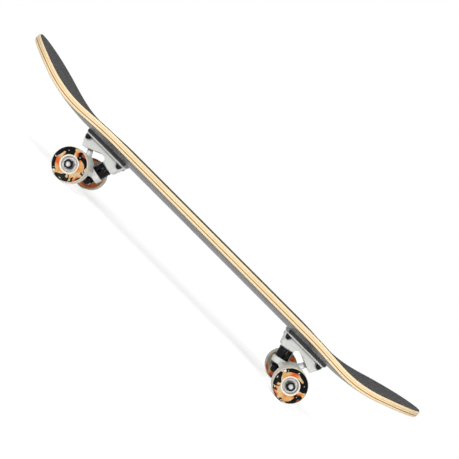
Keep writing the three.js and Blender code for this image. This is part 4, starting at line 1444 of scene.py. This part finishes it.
def make_wheel(turn):
    """A wheel whose print is turned by an angle. Its UV map holds X and Y of the print."""
    piece = solid("wheel", spun(both_ways(wheel_profile()), WHEEL_SIDES), WHEEL)
    mesh = piece.data
    layout = mesh.uv_layers.new(name=PRINT_MAP)
    spin = Matrix.Rotation(turn, 2)
    for loop in mesh.loops:
        layout.data[loop.index].uv = spin @ mesh.vertices[loop.vertex_index].co.to_2d()
    return piece


def bearing_shell():
    """Outer ring and pressed shields of a bearing, its middle at Z = 0."""
    face = BEARING_WIDTH / 2
    side = [(BEARING_DIAMETER / 2, face, BEARING_FILLET)]
    side += [(radius, face - depth, fillet) for radius, depth, fillet in SHIELD_STEPS]
    made = solid("bearing", turned(both_ways(side)), BRIGHT_STEEL, SHIELD_STEEL)
    for polygon in made.data.polygons:
        polygon.material_index = int(Vector(polygon.center[:2]).length < SHIELD_RADIUS)
    return made


def flat_ring(name, inner, outer, low, high, fillets):
    """A plain ring; fillets are those of its bore and of its rim."""
    at_bore, at_rim = fillets
    corners = [(inner, low, at_bore), (outer, low, at_rim), (outer, high, at_rim), (inner, high, at_bore)]
    return solid(name, turned(corners, SMALL_SIDES), BRIGHT_STEEL)


def bolt_shape(length):
    shank = BOLT_DIAMETER / 2
    head = BOLT_HEAD_DIAMETER / 2
    cone = head - shank
    under, up = BOLT_EDGE
    rim = -BOLT_HEAD_RIM
    rows = [(0, -length)] + threaded_end(shank, -length, BOLT_THREAD, BOLT_PITCH, BOLT_TIP)
    rows += [(shank, rim - cone), (head - under, rim), (head, rim + up), (head - up, 0)]
    socket = hexagon(BOLT_SOCKET_WIDTH)
    mouth = BOLT_SOCKET_WIDTH / 2 / math.cos(math.pi / 6) + SOCKET_CHAMFER
    rows += [(mouth, 0), (socket, -SOCKET_CHAMFER), (socket, -BOLT_SOCKET_DEPTH)]
    return spun(rows + [(0, -BOLT_SOCKET_DEPTH - SOCKET_POINT)], NUT_SIDES)


def make_bolts(prefix):
    """A truck's bolts and nuts. The later nuts copy the first one once it is fitted, so each of
    them names the first one's node beside its own."""
    turn = twist(math.pi / 6, "Z")
    bore = BOLT_DIAMETER / 2 + BOLT_CLEARANCE
    nuts = []
    for part, x, y in bolt_places(TRUCK_MIDDLES[prefix]):
        node = f"{prefix}_bolt_{part}"
        low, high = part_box(node)
        bolt = solid("bolt", bolt_shape(high.z - low.z), BLACK_STEEL)
        fit(bolt, node, shift(x, y, high.z))
        node = f"{prefix}_nut_{part}"
        low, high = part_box(node)
        if nuts:
            nut = copy_of(nuts[0])
        else:
            nut = lock_nut("bolt nut", BOLT_NUT_WIDTH, high.z - low.z, BOLT_NUT_HEX, bore)
        nuts.append(fit(nut, node, shift(x, y, high.z) @ turn))


def along_axle(place, outward):
    """A place on the axle, with the piece's own Z pointing out along it."""
    return shift(*place) @ twist(-outward * math.pi / 2, "X")


def ride_with(piece, name, node, place):
    """Puts a piece that has no node of its own in its place, on the body of a node."""
    piece.name = name
    piece.matrix_world = place
    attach(piece, BODY_OF[node])


def wheel_set(name, shapes):
    """A wheel with its two bearings, speed washers and nut; shapes are pieces to copy."""
    outward = 1 if name.endswith("right") else -1
    centre = centre_of(f"{name}_wheel")

    def axle_face(node, facing):
        low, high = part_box(node)
        return Vector((centre.x, high.y if facing > 0 else low.y, centre.z))

    fit(make_wheel(WHEEL_TURNS[name]), f"{name}_wheel", along_axle(centre, outward))
    for where, facing in (("inner", -outward), ("outer", outward)):
        node = f"{name}_{where}_bearing"
        place = along_axle(centre_of(node), facing)
        fit(copy_of(shapes["bearing"]), node, place)
        ride_with(copy_of(shapes["core"]), f"{node}_core", f"{name}_axle_nut", place)
    node = f"{name}_speed_washer"
    fit(copy_of(shapes["washer"]), node, along_axle(axle_face(node, outward), outward))
    hanger_end = outward * (HANGER_WIDTH / 2 + SPEED_WASHER_THICKNESS)
    inner_place = along_axle(Vector((centre.x, hanger_end, centre.z)), outward)
    ride_with(copy_of(shapes["washer"]), f"{name}_inner_washer", node, inner_place)
    node = f"{name}_axle_nut"
    turn = twist(NUT_TURNS[name], "Z")
    fit(copy_of(shapes["axle nut"]), node, along_axle(axle_face(node, -outward), -outward) @ turn)


def wheel_shapes():
    """The pieces that every wheel set copies."""
    low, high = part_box("tail_right_axle_nut")
    nut_bore = AXLE_DIAMETER / 2 + BOLT_CLEARANCE
    bore = AXLE_DIAMETER / 2 + AXLE_CLEARANCE
    face = BEARING_WIDTH / 2
    rim = SPEED_WASHER_DIAMETER / 2
    thickness = SPEED_WASHER_THICKNESS
    return {
        "bearing": bearing_shell(),
        "core": flat_ring("inner ring", bore, INNER_RING_RADIUS, -face, face, INNER_RING_FILLETS),
        "washer": flat_ring("speed washer", bore, rim, -thickness, 0, SPEED_WASHER_FILLETS),
        "axle nut": lock_nut("axle nut", AXLE_NUT_WIDTH, high.y - low.y, AXLE_NUT_HEX, nut_bore),
    }


def bushing(prefix, part, shape, distance):
    """A bushing put on the kingpin at a distance down it, its node's part hidden and its place baked into
    its mesh.
    """
    node = f"{prefix}_{part}_bushing"
    place = truck_place(prefix) @ on_kingpin(distance)
    piece = solid(f"{node}_finished", shape, BUSHING)
    piece.matrix_world = place
    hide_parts(node)
    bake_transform(piece)


def truck_stack():
    """The pieces that both trucks copy, each with its place in the truck."""
    nut_bore = KINGPIN_DIAMETER / 2 + BOLT_CLEARANCE
    nut = lock_nut("kingpin nut", KINGPIN_NUT_WIDTH, KINGPIN_NUT_HEIGHT, KINGPIN_NUT_HEX, nut_bore)
    upper_washer = cup_washer("board side washer", UPPER_WASHER_DIAMETER, UPPER_WASHER_LIP)
    lower_washer = cup_washer("road side washer", LOWER_WASHER_DIAMETER, LOWER_WASHER_LIP)
    flipped = twist(math.pi, "X")
    return {
        "riser_pad": (make_riser(), Matrix()),
        "baseplate": (make_baseplate(), Matrix()),
        "hanger": (make_hanger(), Matrix()),
        "pivot_cup": (make_pivot_cup(), on_pivot()),
        "kingpin": (make_kingpin(), on_kingpin()),
        "kingpin_nut": (nut, on_kingpin(KINGPIN_NUT_TOP)),
        "board_side_washer": (upper_washer, on_kingpin(UPPER_WASHER_TOP)),
        "road_side_washer": (lower_washer, on_kingpin(LOWER_WASHER_TOP + WASHER_THICKNESS) @ flipped),
        "axle": (make_axle(), on_axle()),
    }


def make_trucks():
    stack = truck_stack()
    shapes = wheel_shapes()
    for prefix in ("nose", "tail"):
        for part, (pattern, place) in stack.items():
            fit(copy_of(pattern), f"{prefix}_{part}", truck_place(prefix) @ place)
        bushing(prefix, "board_side", board_side_bushing(), UPPER_BUSHING_TOP)
        bushing(prefix, "road_side", road_side_bushing(), LOWER_BUSHING_TOP)
        make_bolts(prefix)
        for side in ("left", "right"):
            wheel_set(f"{prefix}_{side}", shapes)
    for pattern in [piece for piece, place in stack.values()] + list(shapes.values()):
        bpy.data.objects.remove(pattern)


# Floor, backdrop, lamps and camera

def seen_directly(work):
    """1 for what the camera sees, directly or in metal or glass."""
    path = work.add("LightPath")
    mirrored = work.maths("ADD", path["Is Glossy Ray"], path["Is Transmission Ray"])
    return work.maths("ADD", path["Is Camera Ray"], mirrored, clamp=True)


def make_floor():
    half = FLOOR_HALF
    points = [(-half, -half, 0), (half, -half, 0), (half, half, 0), (-half, half, 0)]
    floor = Finish("studio floor", Roughness=0.9, Specular_IOR_Level=0.0, Emission_Color=WHITE)
    slow = floor.noise(floor.place, 3, detail=2, roughness=0.5)
    floor.feed(floor.shader["Base Color"], floor.tint(slow, (248, 248, 248), (252, 252, 252)))
    floor.feed(floor.shader["Emission Strength"], floor.times(seen_directly(floor), FLOOR_LIFT))
    solid("studio_floor", (points, [(0, 1, 2, 3)]), floor.material)


def make_backdrop():
    world = bpy.data.worlds.new("studio")
    bpy.context.scene.world = world
    world.use_nodes = True
    work = Nodes(world.node_tree)
    background = work.tree.nodes["Background"].inputs
    background["Color"].default_value = WHITE
    work.feed(background["Strength"], work.step_up(seen_directly(work), 0, 1, DAYLIGHT, 1))


def make_lamps():
    for n, azimuth in enumerate(SOFTBOX_AZIMUTHS):
        lamp = bpy.data.lights.new(f"softbox_{n}", "AREA")
        lamp.shape = "RECTANGLE"
        lamp.size = SOFTBOX_WIDTH
        lamp.size_y = SOFTBOX_LENGTH
        lamp.energy = SOFTBOX_POWERS[n]
        holder = bpy.data.objects.new(f"softbox_{n}", lamp)
        bpy.context.scene.collection.objects.link(holder)
        across = SOFTBOX_DISTANCE * math.sin(azimuth)
        place = Vector((across, -SOFTBOX_DISTANCE * math.cos(azimuth), SOFTBOX_HEIGHTS[n]))
        holder.location = place
        aim = Vector((0, 0, PLATE_TOP)) - place
        holder.rotation_euler = aim.to_track_quat("-Z", "Y").to_euler()


def make_camera():
    lens = bpy.data.cameras.new("camera")
    lens.lens = CAMERA_LENS
    lens.sensor_width = CAMERA_SENSOR
    holder = bpy.data.objects.new("camera", lens)
    bpy.context.scene.collection.objects.link(holder)
    holder.location = CAMERA_PLACE
    holder.rotation_euler = (CAMERA_PITCH, CAMERA_ROLL, CAMERA_YAW)
    bpy.context.scene.camera = holder


make_camera()
make_backdrop()
make_lamps()
make_floor()
make_deck()
make_grip()
make_trucks()
bpy.context.scene.view_settings.view_transform = "Standard"
